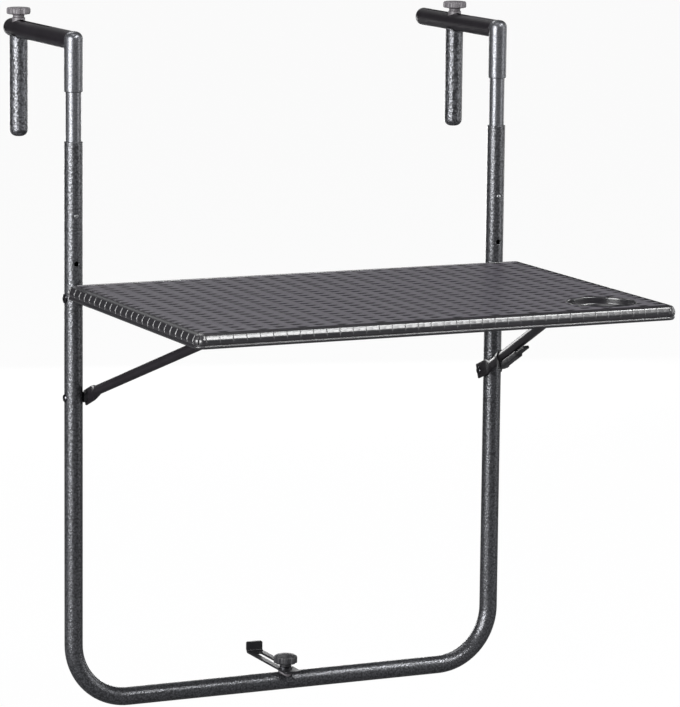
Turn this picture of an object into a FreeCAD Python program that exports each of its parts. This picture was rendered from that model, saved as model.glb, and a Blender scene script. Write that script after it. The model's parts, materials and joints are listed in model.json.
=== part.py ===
"""Balcony railing bar table, in millimetres.

The origin is where the railing's inner top edge lies: in the middle between the two hooks,
on the underside of the hook tubes and on the plane of the legs' back faces.
+Z is up, +X runs along the railing, +Y points over the railing and away from the table.
"""
import FreeCAD, Part
import math
import os
import Sketcher

doc = FreeCAD.newDocument("railing_table")
sheet = doc.addObject("Spreadsheet::Sheet", "Sizes")
X_AXIS = FreeCAD.Vector(1, 0, 0)
Y_AXIS = FreeCAD.Vector(0, 1, 0)
Z_AXIS = FreeCAD.Vector(0, 0, 1)
LEFT, RIGHT = -1, 1
SIDES = (("left", LEFT), ("right", RIGHT))
nodes = {}


class Size:
    """A length or angle, held both as a number and as the sheet formula that gives it."""

    def __init__(self, number, formula):
        self.number = float(number)
        self.formula = formula

    def join(self, other, sign, number):
        return Size(number, "(%s %s %s)" % (self.formula, sign, other.formula))

    def __add__(self, other):
        other = as_size(other)
        return self.join(other, "+", self.number + other.number)

    def __sub__(self, other):
        other = as_size(other)
        return self.join(other, "-", self.number - other.number)

    def __mul__(self, other):
        other = as_size(other)
        return self.join(other, "*", self.number * other.number)

    def __truediv__(self, other):
        other = as_size(other)
        return self.join(other, "/", self.number / other.number)

    def __neg__(self):
        return self * -1

    __radd__ = __add__
    __rmul__ = __mul__

    def __rsub__(self, other):
        return as_size(other) - self


def as_size(value):
    return value if isinstance(value, Size) else Size(value, "(%r)" % float(value))


def sine(angle):
    return Size(math.sin(math.radians(angle.number)), "sin(%s)" % angle.formula)


def cosine(angle):
    return Size(math.cos(math.radians(angle.number)), "cos(%s)" % angle.formula)


def angle_of(rise, run):
    """The angle in degrees whose tangent is rise over run."""
    return Size(math.degrees(math.atan(rise.number / run.number)),
                "(atan(%s / %s) / 1 deg)" % (rise.formula, run.formula))


def angle_with_sine(ratio):
    return Size(math.degrees(math.asin(ratio.number)), "(asin(%s) / 1 deg)" % ratio.formula)


def root_of(square):
    return Size(math.sqrt(square.number), "sqrt(%s)" % square.formula)


def driving(name, number):
    """Put one driving dimension in the sheet and return it."""
    row = driving.next_row
    driving.next_row += 1
    sheet.set("A%d" % row, name)
    sheet.set("B%d" % row, str(number))
    sheet.setAlias("B%d" % row, name)
    return Size(number, "Sizes.%s" % name)


driving.next_row = 1

# Frame tubes
tube_d = 22
tube_wall = 1.5
frame_drop = 785
bend_radius = 70
leg_lip = 1

# Height adjustment
inner_d = 18.5
inner_wall = 1.5
sleeve_length = 49
height_gap = 58.5
button_drop = 87.5
hole_pitch = 57
button_d = 5.6
button_hole_d = 6.6
button_proud = 0.6
inner_tail = 34

# Hooks and their drop pins
hook_reach = 212
hook_round = 6
cap_flange = 4
cap_stem = 10
slot_start = 72
slot_end = 194
slot_w = 7
pin_left_reach = 185.5
pin_right_reach = 120
pin_length = 120
pin_dome = 8
pin_cheek = 3
insert_length = 18
screw_d = 6

# Knobs
knob_d = 29
knob_head = 8
knob_neck = 4
knob_neck_d = 14
knob_washer_h = 2
foot_knob_head = 9.5

# Table top
table_w = 600
table_d = 400
leg_inset = 10
table_drop = 273
table_gap = 16.4
rim_height = 17
plate_t = 3.5
skirt_t = 3
corner_radius = 12
border_w = 9
field_depth = 1.2
rib_t = 2
rib_depth = 12.5
cup_d = 79
cup_depth = 11
cup_inset_x = 70
cup_inset_y = 58
leg_notch_gap = 1.5

# Hinges under the table top
hinge_drop = 21
hinge_ear_r = 9
bracket_t = 2.5
bracket_length = 52
bracket_w = 30
bolt_d = 6
bolt_head_h = 1.6
nut_h = 5

# Support bar
bar_pivot_drop = 140.5
bar_seat_drop = 22
bar_length = 322.5
bar_d = 12
bar_wall = 1.5
bar_front_w = 420
bar_bend = 28
blade_w = 18.5
blade_t = 3
blade_tail = 6
blade_length = 22
crimp_length = 18
rivet_d = 5
spacer_t = 4.5
cradle_w = 30
cradle_offset = 120

# Release lever under the right arm of the support bar
lever_start = 78
lever_body = 76
lever_tongue = 34
lever_h = 8
tongue_h = 4
lever_w = 9

# Foot clamp on the bottom tube
strip_w = 21
strip_t = 2.5
strip_front = 25
strip_back = 97
strip_slot_w = 7.5
plate_up = 14
saddle_rise = 2.5
saddle_d = 18
pad_t = 2
foot_nut_depth = 14
foot_nut_wall = 1.5
foot_flange_wall = 3

# Clearances
slide_gap = 0.3
pivot_gap = 0.05
face_gap = 0.1

# Every number above goes into the sheet, and from here on its name stands for that cell
for word, number in list(globals().items()):
    if word.islower() and type(number) in (int, float):
        globals()[word] = driving(word, number)
doc.recompute()

# Places worked out from the driving dimensions
tube_r = tube_d / 2
leg_x = table_w / 2 - leg_inset - tube_r
leg_y = -tube_r
leg_front = -tube_d
leg_top = -(sleeve_length + height_gap)
bottom_z = -frame_drop
inner_r = inner_d / 2
button_z = leg_top - button_drop
inner_bottom = button_z - inner_tail
table_top_z = -table_drop
table_back = leg_front - table_gap
table_front = table_back - table_d
rim_bottom = table_top_z - rim_height
plate_under = table_top_z - plate_t
pad_under = table_top_z - rib_depth - 1
hinge_z = table_top_z - hinge_drop
pivot_z = table_top_z - bar_pivot_drop
seat_z = table_top_z - bar_seat_drop
bar_rise = angle_with_sine((bar_pivot_drop - bar_seat_drop) / bar_length)
seat_y = leg_y - bar_length * cosine(bar_rise)
blade_x = leg_x - tube_r - spacer_t - blade_t / 2 - face_gap * 2
crest_z = bottom_z + tube_r
CUT_MARGIN = 5


def bind(obj, **sizes):
    """Bind properties to sizes; a double underscore stands for a dot in the property's path."""
    for path, size in sizes.items():
        obj.setExpression(path.replace("__", "."), as_size(size).formula)


def place(obj, x, y, z, axis=None, degrees=0):
    """Put an object at a point, turned about an axis by an angle."""
    turn = FreeCAD.Rotation(axis or Z_AXIS, as_size(degrees).number)
    obj.Placement = FreeCAD.Placement(FreeCAD.Vector(0, 0, 0), turn)
    bind(obj, Placement__Base__x=x, Placement__Base__y=y, Placement__Base__z=z)
    if isinstance(degrees, Size):
        bind(obj, Placement__Rotation__Angle=degrees)
    return obj


def box(name, low, high):
    """A block between two corners."""
    block = doc.addObject("Part::Box", name)
    spans = [as_size(top) - bottom for bottom, top in zip(low, high)]
    bind(block, Length=spans[0], Width=spans[1], Height=spans[2])
    return place(block, *low)


def rod(name, radius, length, start, axis=Z_AXIS):
    """A round rod that starts at a point and runs along +X, +Y or +Z."""
    cylinder = doc.addObject("Part::Cylinder", name)
    bind(cylinder, Radius=radius, Height=length)
    if axis is X_AXIS:
        return place(cylinder, *start, axis=Y_AXIS, degrees=90)
    if axis is Y_AXIS:
        return place(cylinder, *start, axis=X_AXIS, degrees=-90)
    return place(cylinder, *start)


def fuse(name, *pieces):
    joined = doc.addObject("Part::MultiFuse", name)
    joined.Shapes = list(pieces)
    joined.Refine = False
    return joined


def cut(name, base, *tools):
    tool = tools[0] if len(tools) == 1 else fuse(name + "_tools", *tools)
    result = doc.addObject("Part::Cut", name)
    result.Base, result.Tool = base, tool
    result.Refine = False
    return result


def rounded(name, base, radius, wanted):
    """Fillet the edges for which wanted(edge) is true."""
    doc.recompute()
    fillet = doc.addObject("Part::Fillet", name)
    fillet.Base = base
    edges = base.Shape.Edges
    picked = [i + 1 for i, edge in enumerate(edges) if wanted(edge)]
    if not picked:
        raise RuntimeError("no edge to round on " + name)
    fillet.Edges = [(number, radius.number, radius.number) for number in picked]
    return fillet


def flat_ring_at(z, radius):
    """A test for the round edges of one radius that lie level at one height."""
    def wanted(edge):
        curve = edge.Curve
        return (isinstance(curve, Part.Circle) and abs(curve.Radius - radius) < 0.01
                and abs(curve.Center.z - z) < 0.01 and abs(curve.Axis.z) > 0.99)
    return wanted


def plane_of(body, role):
    return next(plane for plane in body.Origin.OriginFeatures if plane.Role == role)


def new_sketch(body, name, role):
    sketch = body.newObject("Sketcher::SketchObject", name)
    sketch.AttachmentSupport = [(plane_of(body, role), "")]
    sketch.MapMode = "FlatFace"
    return sketch


def pin_point(sketch, edge, end, x, y):
    """Fix one end of an edge at a distance from the sketch's origin."""
    for kind, axis, size in (("DistanceX", -2, as_size(x)), ("DistanceY", -1, as_size(y))):
        if size.number == 0:
            sketch.addConstraint(Sketcher.Constraint("PointOnObject", edge, end, axis))
            continue
        index = sketch.addConstraint(Sketcher.Constraint(kind, -1, 1, edge, end, size.number))
        sketch.setExpression("Constraints[%d]" % index, size.formula)


def closed_outline(sketch, points):
    """A closed outline of straight edges through points, each fixed by two sizes."""
    corners = [FreeCAD.Vector(as_size(x).number, as_size(y).number, 0) for x, y in points]
    count = len(corners)
    first = sketch.GeometryCount
    for i in range(count):
        sketch.addGeometry(Part.LineSegment(corners[i], corners[(i + 1) % count]))
    for i in range(count):
        after = first + (i + 1) % count
        sketch.addConstraint(Sketcher.Constraint("Coincident", first + i, 2, after, 1))
    for i, (x, y) in enumerate(points):
        pin_point(sketch, first + i, 1, x, y)


def round_outline(sketch, x, y, radius):
    """A circle whose centre and radius are sizes."""
    centre = FreeCAD.Vector(as_size(x).number, as_size(y).number, 0)
    edge = sketch.addGeometry(Part.Circle(centre, Z_AXIS, as_size(radius).number))
    pin_point(sketch, edge, 3, x, y)
    index = sketch.addConstraint(Sketcher.Constraint("Radius", edge, as_size(radius).number))
    sketch.setExpression("Constraints[%d]" % index, as_size(radius).formula)


def turned(name, outline):
    """A body turned about Z from an outline of radius and height."""
    body = doc.addObject("PartDesign::Body", name)
    sketch = new_sketch(body, name + "_outline", "XZ_Plane")
    closed_outline(sketch, outline)
    spin = body.newObject("PartDesign::Revolution", name + "_turn")
    spin.Profile = sketch
    spin.ReferenceAxis = (sketch, ["V_Axis"])
    spin.Angle = 360
    body.Tip = spin
    return body


def extruded(name, outline, width, role="YZ_Plane"):
    """A body whose outline is extruded evenly to both sides of its plane."""
    body = doc.addObject("PartDesign::Body", name)
    sketch = new_sketch(body, name + "_outline", role)
    closed_outline(sketch, outline)
    pad = body.newObject("PartDesign::Pad", name + "_pad")
    pad.Profile = sketch
    pad.Midplane = True
    bind(pad, Length=width)
    body.Tip = pad
    return body


def keep(name, obj):
    """Give the finished sub-part its label and list it for export."""
    obj.Label = name
    nodes[name] = obj
    return obj


def u_path(body, name, role, half_w, start, end, bend):
    """A U-shaped path in a plane: down from +half_w, across, and up again at -half_w."""
    path = new_sketch(body, name, role)
    w, top, low, r = half_w.number, start.number, end.number, bend.number
    towards = 1 if low > top else -1
    corner = low - towards * r
    vector = FreeCAD.Vector
    path.addGeometry(Part.LineSegment(vector(w, top, 0), vector(w, corner, 0)))
    right = Part.Circle(vector(w - r, corner, 0), Z_AXIS, r)
    left = Part.Circle(vector(r - w, corner, 0), Z_AXIS, r)
    quarter = math.pi / 2
    if towards < 0:
        path.addGeometry(Part.ArcOfCircle(right, -quarter, 0))
        path.addGeometry(Part.LineSegment(vector(w - r, low, 0), vector(r - w, low, 0)))
        path.addGeometry(Part.ArcOfCircle(left, 2 * quarter, 3 * quarter))
    else:
        path.addGeometry(Part.ArcOfCircle(right, 0, quarter))
        path.addGeometry(Part.LineSegment(vector(w - r, low, 0), vector(r - w, low, 0)))
        path.addGeometry(Part.ArcOfCircle(left, quarter, 2 * quarter))
    path.addGeometry(Part.LineSegment(vector(-w, corner, 0), vector(-w, top, 0)))
    return path


# Main frame: one tube bent into a U, with its holes
frame_body = doc.addObject("PartDesign::Body", "frame_tube")
frame_path = u_path(frame_body, "frame_path", "XZ_Plane", leg_x, leg_top, bottom_z, bend_radius)
for edge, leaving, entering in ((0, 2, 2), (1, 1, 1), (2, 2, 2), (3, 1, 1)):
    frame_path.addConstraint(Sketcher.Constraint("Tangent", edge, leaving, edge + 1, entering))
pin_point(frame_path, 0, 1, leg_x, leg_top)
pin_point(frame_path, 4, 2, -leg_x, leg_top)
frame_path.addConstraint(Sketcher.Constraint("Vertical", 0))
frame_path.addConstraint(Sketcher.Constraint("Vertical", 4))
frame_path.addConstraint(Sketcher.Constraint("Horizontal", 2))
frame_path.addConstraint(Sketcher.Constraint("Equal", 1, 3))
index = frame_path.addConstraint(Sketcher.Constraint("Radius", 1, bend_radius.number))
frame_path.setExpression("Constraints[%d]" % index, bend_radius.formula)
index = frame_path.addConstraint(Sketcher.Constraint("DistanceY", -1, 1, 2, 1, bottom_z.number))
frame_path.setExpression("Constraints[%d]" % index, bottom_z.formula)
frame_ring = new_sketch(frame_body, "frame_ring", "XY_Plane")
bind(frame_ring, AttachmentOffset__Base__z=leg_top)
round_outline(frame_ring, leg_x, 0, tube_r)
round_outline(frame_ring, leg_x, 0, tube_r - tube_wall)
frame_pipe = frame_body.newObject("PartDesign::AdditivePipe", "frame_pipe")
frame_pipe.Profile = frame_ring
frame_pipe.Spine = (frame_path, ["Edge1", "Edge2", "Edge3", "Edge4", "Edge5"])
frame_body.Tip = frame_pipe
place(frame_body, 0, leg_y, 0)
doc.recompute()
frame_lip = rounded("frame_lip", frame_body, leg_lip, flat_ring_at(leg_top.number, tube_r.number))


def frame_holes():
    """Button holes in the legs' fronts, bolt and rivet holes across them, and the nut's hole."""
    holes = []
    for word, side in SIDES:
        for step, height in (("high", button_z), ("low", button_z - hole_pitch)):
            start = (side * leg_x, leg_front - CUT_MARGIN, height)
            holes.append(rod("button_hole_%s_%s" % (word, step), button_hole_d / 2,
                             tube_r + CUT_MARGIN, start, Y_AXIS))
        for what, radius, height in (("bolt", bolt_d / 2, hinge_z), ("rivet", rivet_d / 2, pivot_z)):
            start = (side * leg_x - tube_d, leg_y, height)
            holes.append(rod("%s_hole_%s" % (what, word), radius + pivot_gap, tube_d * 2, start, X_AXIS))
    holes.append(rod("nut_hole", screw_d / 2 + foot_nut_wall, tube_r + CUT_MARGIN, (0, leg_y, bottom_z)))
    return holes


keep("main_frame", cut("main_frame_cut", frame_lip, *frame_holes()))


def inner_tube(word, side):
    """The inner tube that slides in a leg and is riveted into the hook's sleeve."""
    length = -inner_bottom - tube_r / 2
    start = (side * leg_x, leg_y, inner_bottom)
    outer = rod("inner_outer_" + word, inner_r, length, start)
    bore = rod("inner_bore_" + word, inner_r - inner_wall, length + CUT_MARGIN,
               (start[0], start[1], inner_bottom - 1))
    hole = rod("inner_hole_" + word, button_hole_d / 2, tube_r + CUT_MARGIN,
               (side * leg_x, leg_front - CUT_MARGIN, button_z), Y_AXIS)
    rivet = rod("inner_rivet_hole_" + word, rivet_d / 2, tube_r + CUT_MARGIN,
                (side * leg_x, leg_y, -sleeve_length / 2), Y_AXIS)
    keep("inner_tube_" + word, cut("inner_tube_cut_" + word, outer, bore, hole, rivet))


def hook_tube(word, side):
    """The hook: an upright sleeve with a rounded top, and a slotted tube welded to it."""
    x = side * leg_x
    sleeve = rod("sleeve_" + word, tube_r, sleeve_length + tube_d, (x, leg_y, -sleeve_length))
    sleeve = rounded("sleeve_round_" + word, sleeve, hook_round,
                     flat_ring_at(tube_d.number, tube_r.number))
    arm_length = hook_reach - cap_flange
    arm = rod("hook_arm_" + word, tube_r, arm_length, (x, leg_y, tube_r), Y_AXIS)
    outside = fuse("hook_outside_" + word, sleeve, arm)
    bore_r = tube_r - tube_wall
    sleeve_bore = rod("sleeve_bore_" + word, bore_r, sleeve_length + tube_r + CUT_MARGIN,
                      (x, leg_y, -sleeve_length - CUT_MARGIN))
    arm_bore = rod("arm_bore_" + word, bore_r, arm_length + CUT_MARGIN, (x, leg_y, tube_r), Y_AXIS)
    slot = slot_shape("hook_slot_" + word, x, slot_start + leg_y, slot_end + leg_y,
                      slot_w, -CUT_MARGIN, tube_d + CUT_MARGIN)
    rivet = rod("sleeve_rivet_hole_" + word, rivet_d / 2, tube_r + CUT_MARGIN,
                (x, leg_y, -sleeve_length / 2), Y_AXIS)
    keep("hook_tube_" + word,
         cut("hook_tube_cut_" + word, outside, sleeve_bore, arm_bore, slot, rivet))


def slot_shape(name, x, y_low, y_high, width, z_low, z_high):
    """A round-ended slot along Y, cut straight down."""
    height = as_size(z_high) - z_low
    middle = box(name + "_middle", (x - width / 2, y_low + width / 2, z_low),
                 (x + width / 2, y_high - width / 2, z_high))
    near = rod(name + "_near", width / 2, height, (x, y_low + width / 2, z_low))
    far = rod(name + "_far", width / 2, height, (x, y_high - width / 2, z_low))
    return fuse(name, middle, near, far)


def hook_cap(word, side):
    """The moulded plug that closes the hook tube's far end."""
    body = turned("hook_cap_body_" + word, (
        (0, -cap_stem), (tube_r - tube_wall - face_gap, -cap_stem),
        (tube_r - tube_wall - face_gap, 0), (tube_r, 0), (tube_r, cap_flange / 2),
        (tube_r - cap_flange / 4, cap_flange * 0.82), (tube_r - cap_flange * 0.7, cap_flange),
        (0, cap_flange)))
    keep("hook_cap_" + word, place(body, side * leg_x, leg_y + hook_reach - cap_flange, tube_r,
                                   X_AXIS, -90))


def hook_rivet(word, side):
    """The blind rivet at the back that joins sleeve and inner tube."""
    head_h = 1.2
    reach = tube_r - inner_r + inner_wall + 1
    body = turned("hook_rivet_body_" + word, (
        (0, 0), (rivet_d / 2 - pivot_gap, 0), (rivet_d / 2 - pivot_gap, reach), (rivet_d, reach),
        (rivet_d * 0.8, reach + head_h * 0.8), (0, reach + head_h)))
    start = leg_y + inner_r - inner_wall - 1
    keep("hook_rivet_" + word, place(body, side * leg_x, start, -sleeve_length / 2, X_AXIS, -90))


for word, side in SIDES:
    inner_tube(word, side)
    hook_tube(word, side)
    hook_cap(word, side)
    hook_rivet(word, side)


def drop_pin(word, x, y):
    """The drop pin: a tube with a domed closed end and a saddle at its top."""
    blank = rod("pin_blank_" + word, tube_r, pin_length + pin_cheek, (x, y, -pin_length))
    blank = rounded("pin_dome_" + word, blank, pin_dome,
                    flat_ring_at(-pin_length.number, tube_r.number))
    bore = rod("pin_bore_" + word, tube_r - tube_wall, pin_length,
               (x, y, -pin_length + tube_wall * 2 + pin_dome / 2))
    saddle = rod("pin_saddle_" + word, tube_r + slide_gap, tube_d * 2, (x, y - tube_d, tube_r), Y_AXIS)
    keep("drop_pin_" + word, cut("drop_pin_cut_" + word, blank, bore, saddle))


def pin_insert(word, x, y):
    """The threaded insert in the pin's top that the clamp screw pulls on."""
    plug = rod("insert_plug_" + word, tube_r - tube_wall - face_gap / 2, insert_length,
               (x, y, -insert_length - slide_gap * 2))
    hole = rod("insert_hole_" + word, screw_d / 2 + pivot_gap, insert_length + CUT_MARGIN,
               (x, y, -insert_length - slide_gap * 2 - 1))
    keep("pin_insert_" + word, cut("pin_insert_cut_" + word, plug, hole))


def knob(name, x, y, base_z, head_h, neck_h, dome_h):
    """A knob with eight scallops, a round neck and a blind hole for its screw."""
    head_r, neck_r = knob_d / 2, knob_neck_d / 2
    top = neck_h + head_h
    hole_r = screw_d / 2 + pivot_gap
    hole_top = neck_h + head_h * 0.6
    body = turned(name + "_body", (
        (hole_r, 0), (neck_r, 0), (neck_r, neck_h), (head_r * 0.93, neck_h),
        (head_r, neck_h + head_h * 0.15), (head_r, top - head_h * 0.25),
        (head_r * 0.92, top - head_h * 0.03), (head_r * 0.6, top + dome_h * 0.6),
        (0, top + dome_h), (0, hole_top), (hole_r, hole_top)))
    flute = new_sketch(body, name + "_flute", "XY_Plane")
    bind(flute, AttachmentOffset__Base__z=neck_h - 1)
    round_outline(flute, head_r * 1.13, 0, head_r * 0.26)
    doc.recompute()
    pocket = body.newObject("PartDesign::Pocket", name + "_scallop")
    pocket.Profile = flute
    pocket.Reversed = True
    bind(pocket, Length=head_h + dome_h + 2)
    body.Tip = pocket
    doc.recompute()
    pattern = body.newObject("PartDesign::PolarPattern", name + "_scallops")
    pattern.Originals = [pocket]
    pattern.Axis = (plane_axis(body, "Z_Axis"), [""])
    pattern.Angle = 360
    pattern.Occurrences = 8
    body.Tip = pattern
    keep(name, place(body, x, y, base_z))


def plane_axis(body, role):
    return next(axis for axis in body.Origin.OriginFeatures if axis.Role == role)


washer_top = tube_d + slide_gap + knob_washer_h


def knob_washer(word, x, y):
    """The moulded washer whose underside is hollowed to sit on the hook tube."""
    blank = rod("washer_blank_" + word, knob_neck_d / 2 + 1, washer_top - tube_r, (x, y, tube_r))
    saddle = rod("washer_saddle_" + word, tube_r + slide_gap, tube_d * 2, (x, y - tube_d, tube_r), Y_AXIS)
    hole = rod("washer_hole_" + word, screw_d / 2 + pivot_gap, tube_d, (x, y, tube_r))
    keep("knob_washer_" + word, cut("knob_washer_cut_" + word, blank, saddle, hole))


for word, side, reach in (("left", LEFT, pin_left_reach), ("right", RIGHT, pin_right_reach)):
    pin_x, pin_y = side * leg_x, leg_y + reach
    drop_pin(word, pin_x, pin_y)
    pin_insert(word, pin_x, pin_y)
    knob_washer(word, pin_x, pin_y)
    knob_base = washer_top + face_gap
    knob("clamp_knob_" + word, pin_x, pin_y, knob_base, knob_head, knob_neck, as_size(0.8))
    screw_low = -insert_length + 2
    screw_high = knob_base + knob_neck + knob_head * 0.6
    keep("clamp_screw_" + word, rod("screw_rod_" + word, screw_d / 2, screw_high - screw_low,
                                    (pin_x, pin_y, screw_low)))


def height_button(word, side):
    """The sprung stud that locks a leg to its inner tube."""
    stud_r = button_d / 2
    flange_y = inner_r - inner_wall - 2.2
    tip = tube_r + button_proud
    body = turned("height_button_body_" + word, (
        (0, flange_y - 1), (stud_r + 1.2, flange_y - 1), (stud_r + 1.2, flange_y),
        (stud_r, flange_y), (stud_r, tip - 1.4), (stud_r * 0.75, tip - 0.4), (0, tip)))
    keep("height_button_" + word, place(body, side * leg_x, leg_y, button_z, X_AXIS, 90))


def button_spring(word, side):
    """The hairpin leaf spring behind the stud."""
    leaf = as_size(0.8)
    front = -(inner_r - inner_wall - 3.2 - face_gap)
    back = inner_r - inner_wall - 0.6
    top, low = 6, -24
    body = extruded("button_spring_body_" + word, (
        (front, top), (front, -6), (-leaf, low), (leaf, low), (back, -6), (back, top),
        (back - leaf, top), (back - leaf, -5.8), (leaf * 0.5, low + leaf * 2),
        (-leaf * 0.5, low + leaf * 2), (front + leaf, -5.8), (front + leaf, top)), as_size(6))
    keep("button_spring_" + word, place(body, side * leg_x, leg_y, button_z))


for word, side in SIDES:
    height_button(word, side)
    button_spring(word, side)


def rounded_block(name, inset, radius, z_low, z_high):
    """A block of the table's outline, drawn in by an inset, with rounded upright corners."""
    low = (-table_w / 2 + inset, table_front + inset, z_low)
    high = (table_w / 2 - inset, table_back - inset, z_high)
    block = box(name + "_block", low, high)
    return rounded(name, block, radius, lambda edge: edge.Curve.TypeId == "Part::GeomLine"
                   and abs(edge.tangentAt(edge.FirstParameter).z) > 0.99)


cup_x = table_w / 2 - cup_inset_x
cup_y = table_front + cup_inset_y
RIB_ROWS = 4
RIB_COLUMNS = 6


def table_ribs():
    """Stiffening ribs under the plate, between the skirts."""
    ribs = []
    low, high = table_top_z - rib_depth, plate_under
    inside_w, inside_d = table_w - skirt_t * 2, table_d - skirt_t * 2
    for i in range(1, RIB_COLUMNS):
        x = -table_w / 2 + skirt_t + inside_w * (i / RIB_COLUMNS)
        ribs.append(box("rib_column_%d" % i, (x - rib_t / 2, table_front + skirt_t, low),
                        (x + rib_t / 2, table_back - skirt_t, high)))
    for i in range(1, RIB_ROWS):
        y = table_front + skirt_t + inside_d * (i / RIB_ROWS)
        ribs.append(box("rib_row_%d" % i, (-table_w / 2 + skirt_t, y - rib_t / 2, low),
                        (table_w / 2 - skirt_t, y + rib_t / 2, high)))
    return ribs


bracket_x_out = leg_x - tube_r - slide_gap
bracket_x_in = bracket_x_out - bracket_w
bracket_back = table_back - skirt_t - 4
bracket_front = bracket_back - bracket_length
cradle_depth = as_size(14)


def mounting_pads():
    """Solid pads under the plate that the brackets and cradles are screwed to."""
    pads = []
    for word, side in SIDES:
        xs = sorted((side * bracket_x_in, side * (bracket_x_out + 2)), key=lambda size: size.number)
        pads.append(box("bracket_pad_" + word, (xs[0], bracket_front, pad_under),
                        (xs[1], bracket_back, plate_under)))
        centre = side * cradle_offset
        pads.append(box("cradle_pad_" + word,
                        (centre - cradle_w / 2 - 3, seat_y - 10, pad_under),
                        (centre + cradle_w / 2 + 3, seat_y + cradle_depth + 4, plate_under)))
    return pads


def table_top():
    """The moulded top: plate, border, skirt with notches for the legs, cup recess, ribs and pads."""
    shell = rounded_block("top_outside", as_size(0), corner_radius, rim_bottom, table_top_z)
    hollow = rounded_block("top_hollow", skirt_t, corner_radius - skirt_t,
                           rim_bottom - CUT_MARGIN, plate_under)
    field = rounded_block("top_field", border_w, corner_radius - border_w,
                          table_top_z - field_depth, table_top_z + CUT_MARGIN)
    shell = cut("top_shell", shell, hollow, field)
    bowl = rod("cup_bowl", cup_d / 2 + plate_t, cup_depth + plate_t - 0.5,
               (cup_x, cup_y, table_top_z - cup_depth - plate_t + 0.5))
    solid = fuse("top_solid", shell, bowl, *(table_ribs() + mounting_pads()))
    recess = rod("cup_recess", cup_d / 2, cup_depth + CUT_MARGIN,
                 (cup_x, cup_y, table_top_z - cup_depth))
    holes = []
    for word, side in SIDES:
        notch_half = tube_r + leg_notch_gap
        holes.append(box("leg_notch_" + word,
                         (side * leg_x - notch_half, table_back - corner_radius,
                          rim_bottom - CUT_MARGIN),
                         (side * leg_x + notch_half, table_back + CUT_MARGIN,
                          hinge_z + tube_r + leg_notch_gap)))
        for i, (x, y) in enumerate(bracket_screw_places(side)):
            holes.append(rod("top_hole_%s_%d" % (word, i), screw_shank_r, pilot_depth,
                             (x, y, pad_under - 1)))
        for i, (x, y) in enumerate(cradle_screw_places(side)):
            holes.append(rod("seat_hole_%s_%d" % (word, i), screw_shank_r, pilot_depth,
                             (x, y, pad_under - 1)))
    keep("table_top", cut("table_top_cut", solid, recess, *holes))


screw_shank_r = as_size(1.9)
pilot_depth = as_size(9)


def bracket_screw_places(side):
    x = side * (bracket_x_in + bracket_x_out - 4) / 2
    return [(x, bracket_back - 12), (x, bracket_front + 12)]


def cradle_screw_places(side):
    y = seat_y + cradle_depth - 3.8
    return [(side * cradle_offset - cradle_w / 3, y), (side * cradle_offset + cradle_w / 3, y)]


def tapping_screw(name, x, y, head_z, length):
    """A pan-head screw driven upwards, its head's underside at head_z."""
    head = rod(name + "_head", screw_shank_r * 2, as_size(2), (x, y, head_z - 2))
    shank = rod(name + "_shank", screw_shank_r, length, (x, y, head_z))
    return fuse(name, head, shank)


def hinge_bracket(word, side):
    """The steel bracket: a plate under the top and an ear that reaches back to the leg."""
    xs = sorted((side * bracket_x_in, side * bracket_x_out), key=lambda size: size.number)
    ear_xs = sorted((side * (bracket_x_out - bracket_t), side * bracket_x_out),
                    key=lambda size: size.number)
    plate = box("bracket_plate_" + word, (xs[0], bracket_front, pad_under - bracket_t),
                (xs[1], bracket_back, pad_under))
    ear_low = hinge_z - hinge_ear_r
    ear_arm = extruded("ear_arm_" + word, (
        (leg_y, ear_low), (table_back + 1, ear_low), (bracket_back - 12, pad_under - bracket_t),
        (bracket_front, pad_under - bracket_t), (bracket_front, pad_under), (bracket_back, pad_under),
        (bracket_back, rim_bottom - 0.6), (leg_y, rim_bottom - 0.6)), bracket_t)
    place(ear_arm, side * (bracket_x_out - bracket_t / 2), 0, 0)
    ear_end = rod("ear_end_" + word, hinge_ear_r, bracket_t, (ear_xs[0], leg_y, hinge_z), X_AXIS)
    hole = rod("ear_hole_" + word, bolt_d / 2 + pivot_gap, tube_d, (ear_xs[0] - 5, leg_y, hinge_z), X_AXIS)
    screws = [rod("bracket_hole_%s_%d" % (word, i), screw_shank_r + face_gap, tube_d,
                  (x, y, pad_under - tube_r)) for i, (x, y) in enumerate(bracket_screw_places(side))]
    steel = fuse("bracket_steel_" + word, plate, ear_arm, ear_end)
    keep("hinge_bracket_" + word, cut("hinge_bracket_cut_" + word, steel, hole, *screws))
    keep("bracket_screws_" + word, fuse("bracket_screws_group_" + word, *[
        tapping_screw("bracket_screw_%s_%d" % (word, i), x, y, pad_under - bracket_t, as_size(9))
        for i, (x, y) in enumerate(bracket_screw_places(side))]))


def hinge_bolt(word, side):
    """The bolt across the leg, its low domed head outside and its nut inside."""
    grip = tube_d + slide_gap + bracket_t + face_gap
    length = grip + nut_h + 1
    bolt = turned("hinge_bolt_body_" + word, (
        (0, 0), (bolt_d / 2, 0), (bolt_d / 2, length), (bolt_d * 0.95, length),
        (bolt_d * 0.95, length + bolt_head_h * 0.4), (bolt_d * 0.55, length + bolt_head_h),
        (0, length + bolt_head_h)))
    outside = leg_x + tube_r + face_gap
    keep("hinge_bolt_" + word, place(bolt, side * (outside - length), leg_y, hinge_z,
                                     Y_AXIS, 90 * side))
    nut = doc.addObject("Part::Prism", "nut_blank_" + word)
    nut.Polygon = 6
    bind(nut, Circumradius=bolt_d * 0.96, Height=nut_h)
    nut_low = side * (bracket_x_out - bracket_t - face_gap) - (nut_h if side == RIGHT else 0)
    place(nut, nut_low, leg_y, hinge_z, Y_AXIS, 90)
    hole = rod("nut_bore_" + word, bolt_d / 2 + pivot_gap, tube_d * 2,
               (side * leg_x - tube_d, leg_y, hinge_z), X_AXIS)
    keep("hinge_nut_" + word, cut("hinge_nut_cut_" + word, nut, hole))


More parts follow.
